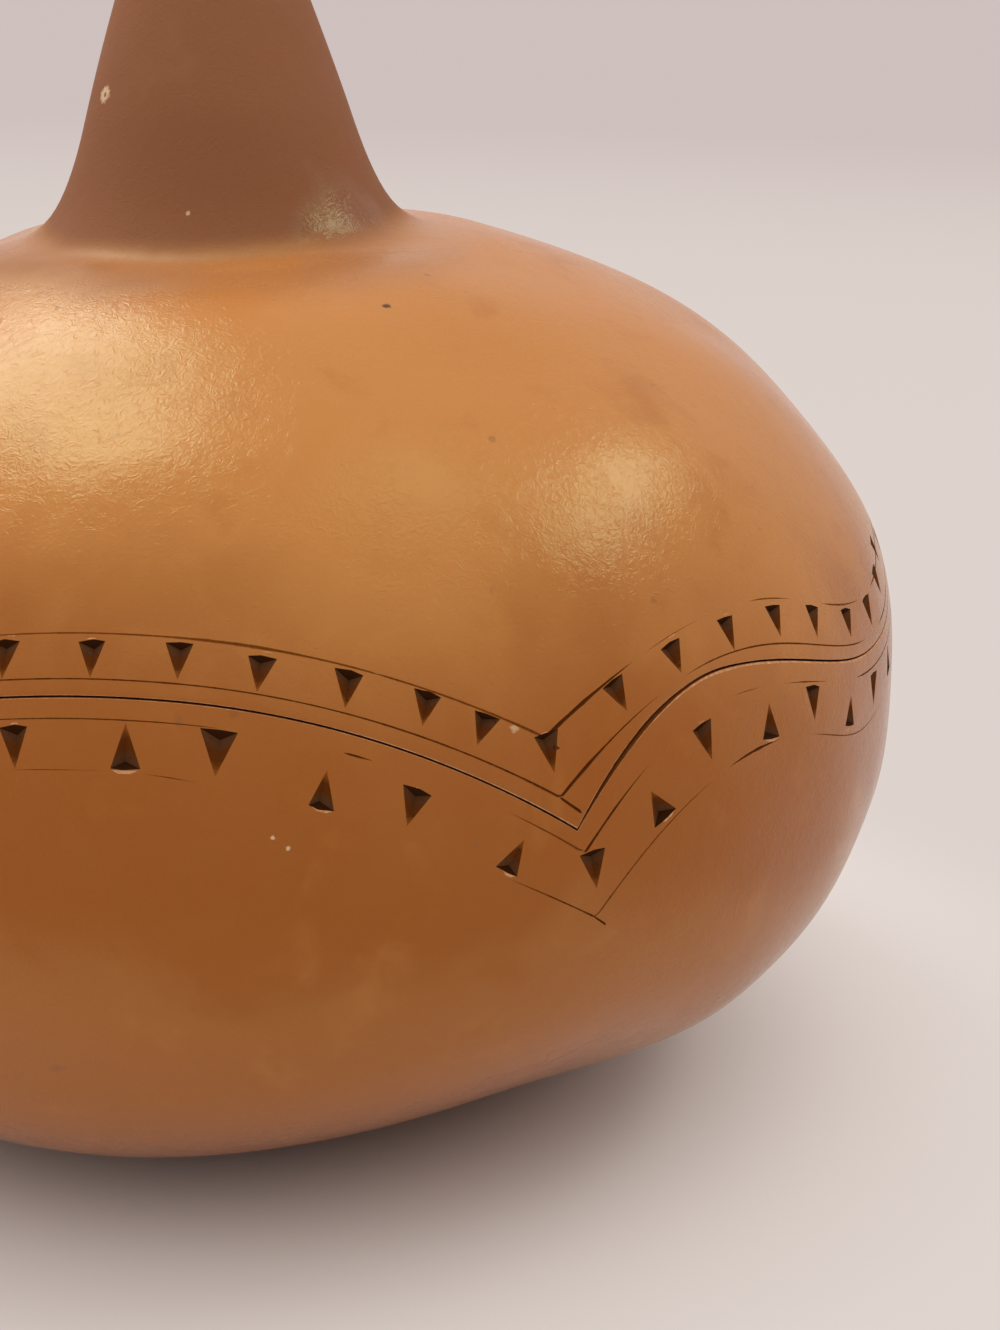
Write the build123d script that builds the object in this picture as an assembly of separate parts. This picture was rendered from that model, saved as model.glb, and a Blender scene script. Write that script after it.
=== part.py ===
"""Lidded gourd box: a dried gourd sawn round its shoulder into a bowl and a lid.

The wavy saw cut has one sharp downward key, so the lid drops home in one position only.
The lid keeps the gourd's hollow neck and its woody stem, which serves as the handle.
Millimetres, +Z up. The origin is on the floor, under the middle of the gourd's widest line.
The front is -Y, and angles round the gourd run from the front towards +X.
"""
import os
from math import cos, degrees, pi, radians, sin

from build123d import *

# Outside of the gourd, measured along its own axis from its widest line
equator_radius = 110.0
base_depth = 65.4
base_fullness = 0.70
shoulder_radius = 44.6
shoulder_height = 71.4
shoulder_slope = 18.3
dome_rise = 0.554
dome_crown = 0.508
flare_reach_body = 12.4
flare_reach_neck = 23.2
neck_radius = 21.1
neck_height = 90.7
neck_taper = 17.0
tip_radius = 9.8
tip_height = 131.0
tip_taper = 10.0
neck_swell = 0.38
tip_rounding = 1.2

# How the gourd stands: it leans towards -X, on a base rubbed flat
lean = 3.2
foot_trim = 1.3

# Hollow inside
shell_wall = 5.5
floor_wall = 7.0
crown_wall = 7.0

# Saw cut between the bowl and the lid, as heights over the widest line
saw_kerf = 0.5
seam_height = 19.7
seam_swing = 3.4
key_angle = 22.9
key_height = 5.0
key_curve = 2.2
cut_inside = 25.0
cut_outside = 6.0
points_per_wave = 6

# Turning points of the hand-cut wave after the key: degrees round, and crest (+) or dip (-) in swings
wave_turns = [
    (38.0, 0.8),
    (60.5, -1.0),
    (84.0, 1.0),
    (108.0, -0.9),
    (132.0, 0.9),
    (156.0, -1.1),
    (181.0, 1.0),
    (207.0, -0.9),
    (232.0, 0.8),
    (257.0, -1.0),
    (282.0, 1.1),
    (316.0, -0.8),
    (351.0, 1.3),
]

# Dried stem, rooted in a socket in the tip of the neck
stem_length = 27.0
stem_seat_ledge = 0.3
stem_waist_radius = 4.3
stem_end_radius = 5.0
stem_ridges = 5
stem_ridge_depth = 0.12
stem_bend = 5.0
stem_waist_at = 0.3
stem_end_swell_at = 0.8
root_radius = 4.0
root_length = 8.0
root_clearance = 0.05
root_end_gap = 0.5


def toward(start, direction, distance):
    """Move a profile point by a distance along a direction."""
    return (start[0] + direction[0] * distance, start[1] + direction[1] * distance)


def wall_profile(inset, depth):
    """Half profile from the base pole to the neck, moved inwards by inset, with the given base depth."""
    down_slope = (cos(radians(shoulder_slope)), -sin(radians(shoulder_slope)))
    up_neck = (-sin(radians(neck_taper)), cos(radians(neck_taper)))
    pole = (0.0, -depth)
    equator = (equator_radius - inset, 0.0)
    shoulder = toward((shoulder_radius, shoulder_height), (down_slope[1], -down_slope[0]), inset)
    neck = toward((neck_radius, neck_height), (-up_neck[1], up_neck[0]), inset)
    base = Bezier(
        pole,
        (base_fullness * equator[0], -depth),
        (equator[0], -base_fullness * depth),
        equator,
    )
    dome = Bezier(
        equator,
        (equator[0], dome_rise * shoulder[1]),
        toward(shoulder, down_slope, dome_crown * (equator[0] - shoulder[0])),
        shoulder,
    )
    flare = Bezier(
        shoulder,
        toward(shoulder, down_slope, -flare_reach_body),
        toward(neck, up_neck, -flare_reach_neck),
        neck,
    )
    return [base, dome, flare], pole, neck, up_neck


def spin(curves, top, pole):
    """Close a half profile along the axis and revolve it into a solid."""
    outline = Curve() + curves + Line(top, pole)
    half = make_face(outline)
    return revolve(Plane.XZ * half, Axis.Z)


def gourd_outside():
    """The whole gourd as one full solid, with a flat seat for the stem at the tip."""
    curves, pole, neck, up_neck = wall_profile(0.0, base_depth)
    rise = tip_height - neck_height
    down_tip = (sin(radians(tip_taper)), -cos(radians(tip_taper)))
    tip = (tip_radius, tip_height)
    neck_curve = Bezier(
        neck,
        toward(neck, up_neck, neck_swell * rise),
        toward(tip, down_tip, neck_swell * rise),
        tip,
    )
    top = (0.0, tip_height)
    solid = spin(curves + [neck_curve, Line(tip, top)], top, pole)
    rim = solid.edges().filter_by(GeomType.CIRCLE).sort_by(Axis.Z)[-1]
    return fillet(rim, tip_rounding)


def gourd_cavity():
    """The hollow: the outside moved in by the wall, closed under the stem's socket."""
    curves, pole, neck, up_neck = wall_profile(shell_wall, base_depth - floor_wall)
    socket_floor = tip_height - root_length - root_end_gap
    ceiling = (0.0, socket_floor - crown_wall)
    rise = ceiling[1] - neck[1]
    neck_curve = Bezier(
        neck,
        toward(neck, up_neck, rise / 2),
        (neck[0] / 2, ceiling[1]),
        ceiling,
    )
    return spin(curves + [neck_curve], ceiling, pole)


def stem_socket():
    """Blind hole in the tip of the neck for the stem's root."""
    depth = root_length + root_end_gap
    hole = Cylinder(root_radius + root_clearance, depth, align=(Align.CENTER, Align.CENTER, Align.MAX))
    return Pos(0, 0, tip_height) * hole


def stem_section(part_way, radius):
    """Five-ridged cross section of the stem, square to its bent centre line."""
    height = part_way * stem_length
    tilt = 2 * stem_bend * part_way / stem_length
    around = [pi * step / stem_ridges for step in range(2 * stem_ridges)]
    ridge_and_groove = (radius, radius * (1 - stem_ridge_depth))
    points = []
    for step, angle in enumerate(around):
        reach = ridge_and_groove[step % 2]
        points.append((reach * cos(angle), reach * sin(angle)))
    section = make_face(Spline(*points, periodic=True))
    slant = Rot(0, degrees(tilt), 0)
    return Pos(stem_bend * part_way**2, 0, tip_height + height) * slant * section


def stem_solid():
    """Stem: a flared foot on the neck's tip, a ridged shaft and a root in the socket."""
    foot_radius = tip_radius - stem_seat_ledge - tip_rounding
    shaft = loft(
        [
            stem_section(0.0, foot_radius),
            stem_section(stem_waist_at, stem_waist_radius),
            stem_section(stem_end_swell_at, stem_waist_radius),
            stem_section(1.0, stem_end_radius),
        ]
    )
    root = Cylinder(root_radius, root_length, align=(Align.CENTER, Align.CENTER, Align.MAX))
    return shaft + Pos(0, 0, tip_height) * root


def seam_turns():
    """Turning points of the cut, from the key once round to the key again: degrees, height, is it the key."""
    waves = [(angle, seam_height + seam_swing * level, False) for angle, level in wave_turns]
    return [(key_angle, key_height, True)] + waves + [(key_angle + 360, key_height, True)]


def seam_point(start, end, part_way):
    """Angle in radians and height of the cut part of the way between two turning points."""
    angle = radians(start[0] + (end[0] - start[0]) * part_way)
    climb = end[1] - start[1]
    if start[2]:
        return angle, end[1] - climb * (1 - part_way) ** key_curve
    if end[2]:
        return angle, start[1] + climb * part_way**key_curve
    return angle, start[1] + climb * (1 - cos(pi * part_way)) / 2


def seam_slope(start, end, turn):
    """Climb of the cut per radian at a turning point: level at a crest or dip, steep at the key."""
    if not turn[2]:
        return 0.0
    return key_curve * (end[1] - start[1]) / radians(end[0] - start[0])


def seam_edge(start, end, radius, equator_rise):
    """One stretch of the cut at a radius, as a smooth curve between two turning points."""
    points = []
    for step in range(points_per_wave + 1):
        angle, height = seam_point(start, end, step / points_per_wave)
        points.append((radius * sin(angle), -radius * cos(angle), equator_rise + height))
    tangents = []
    for turn in (start, end):
        angle = radians(turn[0])
        tangents.append((radius * cos(angle), radius * sin(angle), seam_slope(start, end, turn)))
    return Spline(*points, tangents=tangents)


def saw_cut(equator_rise):
    """The thin wavy slabs that the saw takes out of the wall all round."""
    inner = equator_radius - shell_wall - cut_inside
    outer = equator_radius + cut_outside
    turns = seam_turns()
    slabs = []
    for start, end in zip(turns, turns[1:]):
        inner_edge = seam_edge(start, end, inner, equator_rise)
        outer_edge = seam_edge(start, end, outer, equator_rise)
        stretch = Face.make_surface_from_curves(inner_edge, outer_edge)
        slabs.append(Solid.extrude(stretch, Vector(0, 0, saw_kerf)))
    return slabs


def build():
    """Make the bowl, the lid and the stem in their places."""
    gourd = gourd_outside()
    leaning = Rot(0, -lean, 0)
    equator_rise = -(leaning * gourd).bounding_box().min.Z - foot_trim
    stand = Pos(0, 0, equator_rise) * leaning
    shell = stand * (gourd - gourd_cavity() - stem_socket())
    floor_side = 4 * equator_radius
    floor_align = (Align.CENTER, Align.CENTER, Align.MAX)
    shell -= Box(floor_side, floor_side, 2 * base_depth, align=floor_align)
    halves = (shell - saw_cut(equator_rise)).solids().sort_by(Axis.Z)
    print("widest line stands", round(equator_rise, 3), "over the floor")
    return {"bowl": halves[0], "lid": halves[-1], "stem": stand * stem_solid()}


pieces = build()
os.makedirs("parts", exist_ok=True)
for name, piece in pieces.items():
    export_step(piece, f"parts/{name}.step")
    print(name, "has", len(piece.solids()), "solid of", round(piece.volume / 1000, 1), "cubic centimetres")
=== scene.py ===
"""Looks of the lidded gourd box: polished skin, carved border, saw cut, hollow inside and woody stem.

Metres, +Z up, in the frame of the solids. Angles round the gourd run in degrees from the front (-Y)
towards +X. Heights of the carving are millimetres over the gourd's widest line.
"""
import logging
import math
import random
from collections.abc import Iterable, Mapping, Sequence
from dataclasses import dataclass, field
from enum import Enum, IntEnum
from functools import cached_property
from typing import Any

import bmesh
import bpy
import numpy as np
from mathutils import Matrix, Vector
from mathutils.geometry import delaunay_2d_cdt


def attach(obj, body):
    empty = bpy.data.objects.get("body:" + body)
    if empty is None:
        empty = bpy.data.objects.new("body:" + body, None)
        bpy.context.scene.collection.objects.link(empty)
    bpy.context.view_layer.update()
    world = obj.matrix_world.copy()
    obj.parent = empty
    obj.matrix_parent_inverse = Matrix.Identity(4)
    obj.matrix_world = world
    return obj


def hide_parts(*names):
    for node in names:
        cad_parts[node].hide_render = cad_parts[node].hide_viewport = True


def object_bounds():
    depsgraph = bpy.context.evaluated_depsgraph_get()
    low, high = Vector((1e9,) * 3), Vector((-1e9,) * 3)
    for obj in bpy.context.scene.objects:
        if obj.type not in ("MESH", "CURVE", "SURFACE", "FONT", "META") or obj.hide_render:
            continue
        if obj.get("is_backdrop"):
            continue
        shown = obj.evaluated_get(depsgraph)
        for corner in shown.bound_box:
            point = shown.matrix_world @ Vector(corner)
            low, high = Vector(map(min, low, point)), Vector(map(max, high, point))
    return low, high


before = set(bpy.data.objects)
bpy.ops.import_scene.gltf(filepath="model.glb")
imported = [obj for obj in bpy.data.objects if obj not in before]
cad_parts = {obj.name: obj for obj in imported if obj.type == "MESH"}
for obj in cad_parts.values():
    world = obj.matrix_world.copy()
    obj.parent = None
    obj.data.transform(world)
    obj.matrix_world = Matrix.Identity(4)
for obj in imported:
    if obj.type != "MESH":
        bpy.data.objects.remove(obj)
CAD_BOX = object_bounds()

MM = 0.001
COLUMNS = 540
NOISE_MIDDLE = 0.5
WELD = 0.002 * MM
BURN_AND_SHADE = "char"
KEY_CURVE = 2.2
Colour = tuple[float, float, float, float]
Pair = tuple[float, float]
log = logging.getLogger("gourd_box")


def show(name: str, data: bpy.types.ID) -> bpy.types.Object:
    """Make an object and link it to the scene.

    Args:
        name: Name of the object.
        data: Its mesh, lamp or camera.

    Returns:
        The object.
    """
    made = bpy.data.objects.new(name, data)
    bpy.context.scene.collection.objects.link(made)
    return made


class Finish(IntEnum):
    """Finishes of a gourd shell, in the order of its material slots."""

    SKIN = 0
    BURNT_AND_SHADE = 1
    FLESH = 2
    INSIDE = 3


class Half(Enum):
    """The two halves that the saw cut leaves."""

    BOWL = "bowl"
    LID = "lid"


class Signal:
    """A shader value that takes part in Python arithmetic."""

    def __init__(self, board: "Board", socket: bpy.types.NodeSocket) -> None:
        """Keep the socket and the board that further nodes go on."""
        self.board = board
        self.socket = socket

    def _math(self, operation: str, first: "Signal | float", second: "Signal | float") -> "Signal":
        """Add one Math node.

        Args:
            operation: Name of the Math node's operation.
            first: Left operand.
            second: Right operand.

        Returns:
            The node's result.
        """
        node = self.board.add("ShaderNodeMath", {"operation": operation}, {0: first, 1: second})
        return Signal(self.board, node.outputs[0])

    def __add__(self, other: "Signal | float") -> "Signal":
        """Sum."""
        return self._math("ADD", self, other)

    def __radd__(self, other: float) -> "Signal":
        """Sum with the number first."""
        return self._math("ADD", other, self)

    def __sub__(self, other: "Signal | float") -> "Signal":
        """Difference."""
        return self._math("SUBTRACT", self, other)

    def __rsub__(self, other: float) -> "Signal":
        """Difference with the number first."""
        return self._math("SUBTRACT", other, self)

    def __mul__(self, other: "Signal | float") -> "Signal":
        """Product."""
        return self._math("MULTIPLY", self, other)

    def __rmul__(self, other: float) -> "Signal":
        """Product with the number first."""
        return self._math("MULTIPLY", other, self)

    def larger(self, other: "Signal | float") -> "Signal":
        """The larger of two values."""
        return self._math("MAXIMUM", self, other)

    def swing(self, size: float) -> "Signal":
        """Noise as a swing to either side of 0, by at most half the size."""
        return (self - NOISE_MIDDLE) * size

    def ease(self, low: float, high: float) -> "Signal":
        """Smooth step from 0 at low to 1 at high.

        Args:
            low: Value that gives 0.
            high: Value that gives 1, which may be below low.

        Returns:
            The eased value.
        """
        settings = {"interpolation_type": "SMOOTHSTEP"}
        node = self.board.add("ShaderNodeMapRange", settings, {0: self, 1: low, 2: high})
        return Signal(self.board, node.outputs[0])


class Board:
    """The node tree of a material or of the world."""

    def __init__(self, owner: bpy.types.Material | bpy.types.World) -> None:
        """Take over the owner's node tree and empty it.

        Args:
            owner: Material or world that the nodes belong to.
        """
        self.owner = owner
        owner.use_nodes = True
        self.tree = owner.node_tree
        self.tree.nodes.clear()

    @classmethod
    def material(cls, name: str) -> "Board":
        """Start a new material of that name."""
        return cls(bpy.data.materials.new(name))

    def add(
        self,
        kind: str,
        settings: Mapping[str, Any] | None = None,
        values: Mapping[int | str, Any] | None = None,
    ) -> bpy.types.Node:
        """Add a node.

        Args:
            kind: Blender's node type.
            settings: The node's own properties, set first.
            values: Numbers, colours or signals for its input sockets, by index or name.

        Returns:
            The new node.
        """
        node = self.tree.nodes.new(kind)
        for name, value in (settings or {}).items():
            setattr(node, name, value)
        for key, value in (values or {}).items():
            if isinstance(value, Signal):
                self.tree.links.new(value.socket, node.inputs[key])
            else:
                node.inputs[key].default_value = value
        return node

    def take(
        self,
        kind: str,
        settings: Mapping[str, Any] | None = None,
        values: Mapping[int | str, Any] | None = None,
        output: int | str = 0,
    ) -> Signal:
        """Add a node and take one of its outputs.

        Args:
            kind: Blender's node type.
            settings: The node's own properties, set first.
            values: Numbers, colours or signals for its input sockets, by index or name.
            output: Index or name of the output.

        Returns:
            The output, which may also be a shader.
        """
        return Signal(self, self.add(kind, settings, values).outputs[output])

    @cached_property
    def place(self) -> Signal:
        """Position on the piece, in metres in the frame of the solids."""
        return self.take("ShaderNodeTexCoord", output="Object")

    @cached_property
    def height(self) -> Signal:
        """Height over the floor at rest."""
        return self.take("ShaderNodeSeparateXYZ", values={0: self.place}, output=2)

    @cached_property
    def seen(self) -> Signal:
        """1 for rays that show a surface directly or in a reflection, 0 for rays that gather light."""
        path = self.add("ShaderNodeLightPath")
        names = ("Is Camera Ray", "Is Glossy Ray", "Is Transmission Ray")
        eye, gloss, glass = (Signal(self, path.outputs[name]) for name in names)
        return eye.larger(gloss).larger(glass)

    def noise(
        self, grain: float, detail: float = 3.0, warp: float = 0.0, place: Signal | None = None
    ) -> Signal:
        """Cloudy noise.

        Args:
            grain: Size of its patches in metres.
            detail: Octaves of finer noise in it.
            warp: How far the patches are twisted.
            place: Coordinates, if not the piece's own.

        Returns:
            Noise around 0.5.
        """
        values = {"Vector": place or self.place, "Scale": 1 / grain, "Detail": detail, "Distortion": warp}
        return self.take("ShaderNodeTexNoise", values=values)

    def stretched(self, scale: tuple[float, float, float]) -> Signal:
        """The piece's coordinates, multiplied along each axis."""
        return self.take("ShaderNodeVectorMath", {"operation": "MULTIPLY"}, {0: self.place, 1: scale})

    def distance(self, spot: Sequence[float]) -> Signal:
        """Distance from a spot on the piece, in metres."""
        values = {0: self.place, 1: spot}
        return self.take("ShaderNodeVectorMath", {"operation": "DISTANCE"}, values, "Value")

    def attribute(self, name: str) -> Signal:
        """A number that the mesh holds at the corners of its faces."""
        return self.take("ShaderNodeAttribute", {"attribute_name": name}, output="Fac")

    def mix(self, factor: Signal, first: Signal | Colour, second: Signal | Colour) -> Signal:
        """Blend two colours.

        Args:
            factor: 0 for the first colour, 1 for the second.
            first: Colour at 0.
            second: Colour at 1.

        Returns:
            The blended colour.
        """
        settings = {"data_type": "RGBA", "clamp_factor": True}
        return self.take("ShaderNodeMix", settings, {0: factor, 6: first, 7: second}, 2)

    def bump(self, relief: Signal, depth: float, below: Signal | None = None) -> Signal:
        """Turn a relief into surface normals.

        Args:
            relief: Height of the relief, 0 to 1.
            depth: Metres of relief at 1.
            below: Normals of a coarser relief under this one.

        Returns:
            The normals.
        """
        values: dict[int | str, Any] = {"Strength": 1.0, "Distance": depth, "Height": relief}
        if below is not None:
            values["Normal"] = below
        return self.take("ShaderNodeBump", values=values)

    def close(self, shader: Signal) -> bpy.types.Material | bpy.types.World:
        """Send a shader to the output of the material or the world.

        Args:
            shader: The finished shader.

        Returns:
            The material or the world.
        """
        in_world = isinstance(self.owner, bpy.types.World)
        self.add("ShaderNodeOutputWorld" if in_world else "ShaderNodeOutputMaterial", values={0: shader})
        return self.owner

    def principled(self, values: Mapping[int | str, Any]) -> bpy.types.Material:
        """End a material in a Principled shader.

        Args:
            values: The shader's socket values and links.

        Returns:
            The finished material.
        """
        return self.close(self.take("ShaderNodeBsdfPrincipled", values=values))


@dataclass(frozen=True)
class Blemish:
    """A small mark on the skin: where it is, how wide, its colour and how strongly it shows."""

    angle: float
    height: float
    radius: float
    colour: Colour
    strength: float = 1.0
    core: float = 0.5


@dataclass(frozen=True)
class GourdSkin:
    """Polished skin of the dried gourd: golden shoulder, amber and redder below, dull neck; these tones
    hold painted light and shade as well.
    """

    name: str = "gourd_skin"
    # Tones by height, partly the skin's own and partly painted light: gold brighter on top, russet as
    # painted shade low down, the paler base tone as a painted floor reflection.
    amber: Colour = (0.39, 0.119, 0.025, 1.0)
    gold: Colour = (0.55, 0.212, 0.054, 1.0)
    russet: Colour = (0.355, 0.088, 0.010, 1.0)
    base_tone_and_floor_sheen: Colour = (0.39, 0.12, 0.026, 1.0)
    umber: Colour = (0.27, 0.09, 0.042, 1.0)
    gloss_tint: Colour = (0.74, 0.93, 0.44, 1.0)
    specular: float = 0.5
    roughness: float = 0.18
    neck_roughness: float = 0.75
    uneven_gloss: float = 0.15
    polished_at: Pair = (36.0, 78.0)
    polished_reach: Pair = (13 * MM, 5 * MM)
    polished_ragged: float = 20 * MM
    gold_heights: Pair = (82 * MM, 108 * MM)
    russet_heights: Pair = (92 * MM, 65 * MM)
    base_sheen_heights: Pair = (62 * MM, 46 * MM)
    patch_shift: float = 50 * MM
    mottle_shift: float = 20 * MM
    # Where the neck turns umber, more at the front: partly the neck's own tone, partly painted shade on
    # its front and in its foot.
    neck_centre: tuple[float, float, float] = (12 * MM, 60 * MM, -600 * MM)
    neck_dark: Pair = (676.3 * MM, 681.7 * MM)
    neck_dull: Pair = (677.5 * MM, 680.7 * MM)
    neck_ragged: float = 6 * MM
    neck_calm: float = 0.75
    red_spots: Pair = (0.55, 0.8)
    red_share: float = 0.35
    gold_spots: Pair = (0.45, 0.2)
    gold_share: float = 0.3
    dark_specks: Pair = (0.72, 0.8)
    dark_share: float = 0.5
    creased: Pair = (0.2, 0.5)
    patch: float = 48 * MM
    mottle: float = 13 * MM
    speckle: float = 4 * MM
    grain: float = 0.6 * MM
    grain_depth: float = 0.03 * MM
    crease: float = 1.5 * MM
    crease_depth: float = 0.14 * MM
    ripple: float = 7 * MM
    ripple_depth: float = 0.12 * MM

    def make(self, form: "GourdForm", blemishes: Iterable[Blemish]) -> bpy.types.Material:
        """Make the skin's material.

        Args:
            form: The gourd, which tells where a blemish is.
            blemishes: Specks on the skin.

        Returns:
            The material.
        """
        board = Board.material(self.name)
        patches = board.noise(self.patch, detail=3.0, warp=0.5)
        mottle = board.noise(self.mottle, detail=4.0, warp=0.4)
        speckle = board.noise(self.speckle, detail=2.0)
        grain = board.noise(self.grain, detail=2.0)
        # Golden towards the top, redder and then paler towards the base: partly the skin's own tone,
        # partly painted light, painted shade in the lower band and a painted floor reflection at the base.
        wavering = board.height + patches.swing(self.patch_shift) + mottle.swing(self.mottle_shift)
        colour = board.mix(wavering.ease(*self.gold_heights), self.amber, self.gold)
        colour = board.mix(wavering.ease(*self.russet_heights), colour, self.russet)
        colour = board.mix(wavering.ease(*self.base_sheen_heights), colour, self.base_tone_and_floor_sheen)
        # Umber over the neck and down onto its foot: partly the neck's own darker tone, partly painted
        # shade on the front of the neck and in the foot.
        above = board.distance(form.stand(*self.neck_centre)) + patches.swing(self.neck_ragged)
        neck_tone_and_shade = above.ease(*self.neck_dark)
        colour = board.mix(neck_tone_and_shade, colour, self.umber)
        calm = 1.0 - neck_tone_and_shade * self.neck_calm
        colour = board.mix(mottle.ease(*self.red_spots) * calm * self.red_share, colour, self.russet)
        colour = board.mix(mottle.ease(*self.gold_spots) * calm * self.gold_share, colour, self.gold)
        colour = board.mix(speckle.ease(*self.dark_specks) * self.dark_share, colour, self.umber)
        for speck in blemishes:
            edge = board.distance(form.spot(speck.angle, speck.height)) + grain.swing(speck.radius)
            marked = edge.ease(speck.radius, speck.core * speck.radius) * speck.strength
            colour = board.mix(marked, colour, speck.colour)
        ripples = board.bump(board.noise(self.ripple, detail=3.0), self.ripple_depth)
        folds = board.noise(self.crease, detail=4.0, warp=1.2)
        creases = (folds - NOISE_MIDDLE).larger(NOISE_MIDDLE - folds) * mottle.ease(*self.creased)
        crinkled = board.bump(creases, self.crease_depth, ripples)
        off = board.distance(form.spot(*self.polished_at)) + mottle.swing(self.polished_ragged)
        polished = off.ease(*self.polished_reach)
        unpolished = above.ease(*self.neck_dull) * (1.0 - polished)
        dull = unpolished * (self.neck_roughness - self.roughness) + self.roughness
        return board.principled(
            {
                "Base Color": colour,
                "Roughness": dull + mottle.swing(self.uneven_gloss) + grain.swing(self.uneven_gloss),
                "Normal": board.bump(grain, self.grain_depth, crinkled),
                "Specular IOR Level": self.specular,
                "Specular Tint": self.gloss_tint,
            }
        )


@dataclass(frozen=True)
class GrainyFinish:
    """What the dull finishes share: a grain that stands out of the surface and varies its gloss."""

    name: str = "grainy_finish"
    roughness: float = 0.5
    uneven_gloss: float = 0.3
    relief: float = 0.1 * MM
    specular: float = 0.5

    def close(self, board: Board, colour: Signal, grain: Signal) -> bpy.types.Material:
        """End a material in a dull shader.

        Args:
            board: The material's nodes.
            colour: Its colour.
            grain: Noise that gives the relief and the gloss.

        Returns:
            The finished material.
        """
        return board.principled(
            {
                "Base Color": colour,
                "Roughness": self.roughness + grain.swing(self.uneven_gloss),
                "Normal": board.bump(grain, self.relief),
                "Specular IOR Level": self.specular,
            }
        )


@dataclass(frozen=True)
class BurntCutAndShade(GrainyFinish):
    """Scorched bottom of a cut: red-brown where it runs out, then dark brown, black at its steep end,
    where the black is partly painted shade; its red-brown also paints the shade in the saw gap.
    """

    name: str = "burnt_cut_and_shade"
    relief: float = 0.06 * MM
    specular: float = 0.02
    scorch: Colour = (0.26, 0.078, 0.013, 1.0)
    umber: Colour = (0.11, 0.028, 0.004, 1.0)
    coal: Colour = (0.10, 0.038, 0.014, 1.0)
    black: Colour = (0.034, 0.010, 0.002, 1.0)
    umber_burn: Pair = (0.04, 0.3)
    coal_burn: Pair = (0.45, 0.6)
    black_burn_and_shade: Pair = (0.8, 0.95)
    uneven_burn: float = 0.2
    soot: Pair = (0.58, 0.75)
    soot_share: float = 0.5
    grain: float = 0.5 * MM

    def make(self) -> bpy.types.Material:
        """Make the material.

        Returns:
            The material.
        """
        board = Board.material(self.name)
        grain = board.noise(self.grain, detail=3.0)
        burn = board.attribute(BURN_AND_SHADE) + grain.swing(self.uneven_burn)
        colour = board.mix(burn.ease(*self.umber_burn), self.scorch, self.umber)
        colour = board.mix(burn.ease(*self.coal_burn), colour, self.coal)
        colour = board.mix(burn.ease(*self.black_burn_and_shade), colour, self.black)
        colour = board.mix(grain.ease(*self.soot) * self.soot_share, colour, self.black)
        return self.close(board, colour, grain)


@dataclass(frozen=True)
class RawFlesh(GrainyFinish):
    """Pale woody flesh of the shell where the skin is cut or chipped away; on the slivers beside the chips
    its paleness is partly a painted glint.
    """

    name: str = "raw_flesh"
    roughness: float = 0.6
    relief: float = 0.08 * MM
    specular: float = 0.1
    pale: Colour = (0.66, 0.36, 0.19, 1.0)
    tan: Colour = (0.52, 0.21, 0.08, 1.0)
    pale_grain: Pair = (0.35, 0.65)
    grain: float = 0.8 * MM

    def make(self) -> bpy.types.Material:
        """Make the material.

        Returns:
            The material.
        """
        board = Board.material(self.name)
        grain = board.noise(self.grain, detail=4.0)
        colour = board.mix(grain.ease(*self.pale_grain), self.tan, self.pale)
        return self.close(board, colour, grain)


@dataclass(frozen=True)
class FibrousInside(GrainyFinish):
    """Scraped inside of the shell: dull straw brown with stringy fibres."""

    name: str = "fibrous_inside"
    roughness: float = 0.8
    uneven_gloss: float = 0.2
    relief: float = 0.25 * MM
    straw: Colour = (0.52, 0.34, 0.17, 1.0)
    shade: Colour = (0.30, 0.17, 0.08, 1.0)
    fibre: float = 1.6 * MM
    stretch: tuple[float, float, float] = (1.0, 1.0, 0.25)
    shaded_fibres: Pair = (0.35, 0.7)
    cloud: float = 18 * MM
    shaded_clouds: Pair = (0.45, 0.75)
    cloud_share: float = 0.6

    def make(self) -> bpy.types.Material:
        """Make the material.

        Returns:
            The material.
        """
        board = Board.material(self.name)
        strings = board.noise(self.fibre, detail=4.0, warp=1.5, place=board.stretched(self.stretch))
        cloud = board.noise(self.cloud, detail=4.0, warp=0.8)
        colour = board.mix(strings.ease(*self.shaded_fibres), self.straw, self.shade)
        colour = board.mix(cloud.ease(*self.shaded_clouds) * self.cloud_share, colour, self.shade)
        return self.close(board, colour, strings)


@dataclass(frozen=True)
class StemWood(GrainyFinish):
    """Grey-brown dried stem with long fibres, paler at its broken end."""

    name: str = "stem_wood"
    roughness: float = 0.72
    relief: float = 0.2 * MM
    bark: Colour = (0.20, 0.125, 0.068, 1.0)
    groove: Colour = (0.075, 0.042, 0.022, 1.0)
    broken: Colour = (0.42, 0.30, 0.18, 1.0)
    fibre: float = 0.8 * MM
    stretch: tuple[float, float, float] = (1.0, 1.0, 0.12)
    bark_fibres: Pair = (0.4, 0.65)
    cloud: float = 6 * MM
    dark_clouds: Pair = (0.5, 0.75)
    cloud_share: float = 0.4
    broken_fade: float = 1.2 * MM
    broken_share: float = 0.8

    def make(self, end_height: float) -> bpy.types.Material:
        """Make the material.

        Args:
            end_height: Height over the floor where the broken end starts.

        Returns:
            The material.
        """
        board = Board.material(self.name)
        strings = board.noise(self.fibre, detail=4.0, warp=0.6, place=board.stretched(self.stretch))
        cloud = board.noise(self.cloud, detail=3.0)
        colour = board.mix(strings.ease(*self.bark_fibres), self.groove, self.bark)
        colour = board.mix(cloud.ease(*self.dark_clouds) * self.cloud_share, colour, self.groove)
        at_end = board.height.ease(end_height - self.broken_fade, end_height)
        colour = board.mix(at_end * self.broken_share, colour, self.broken)
        return self.close(board, colour, strings)


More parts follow.
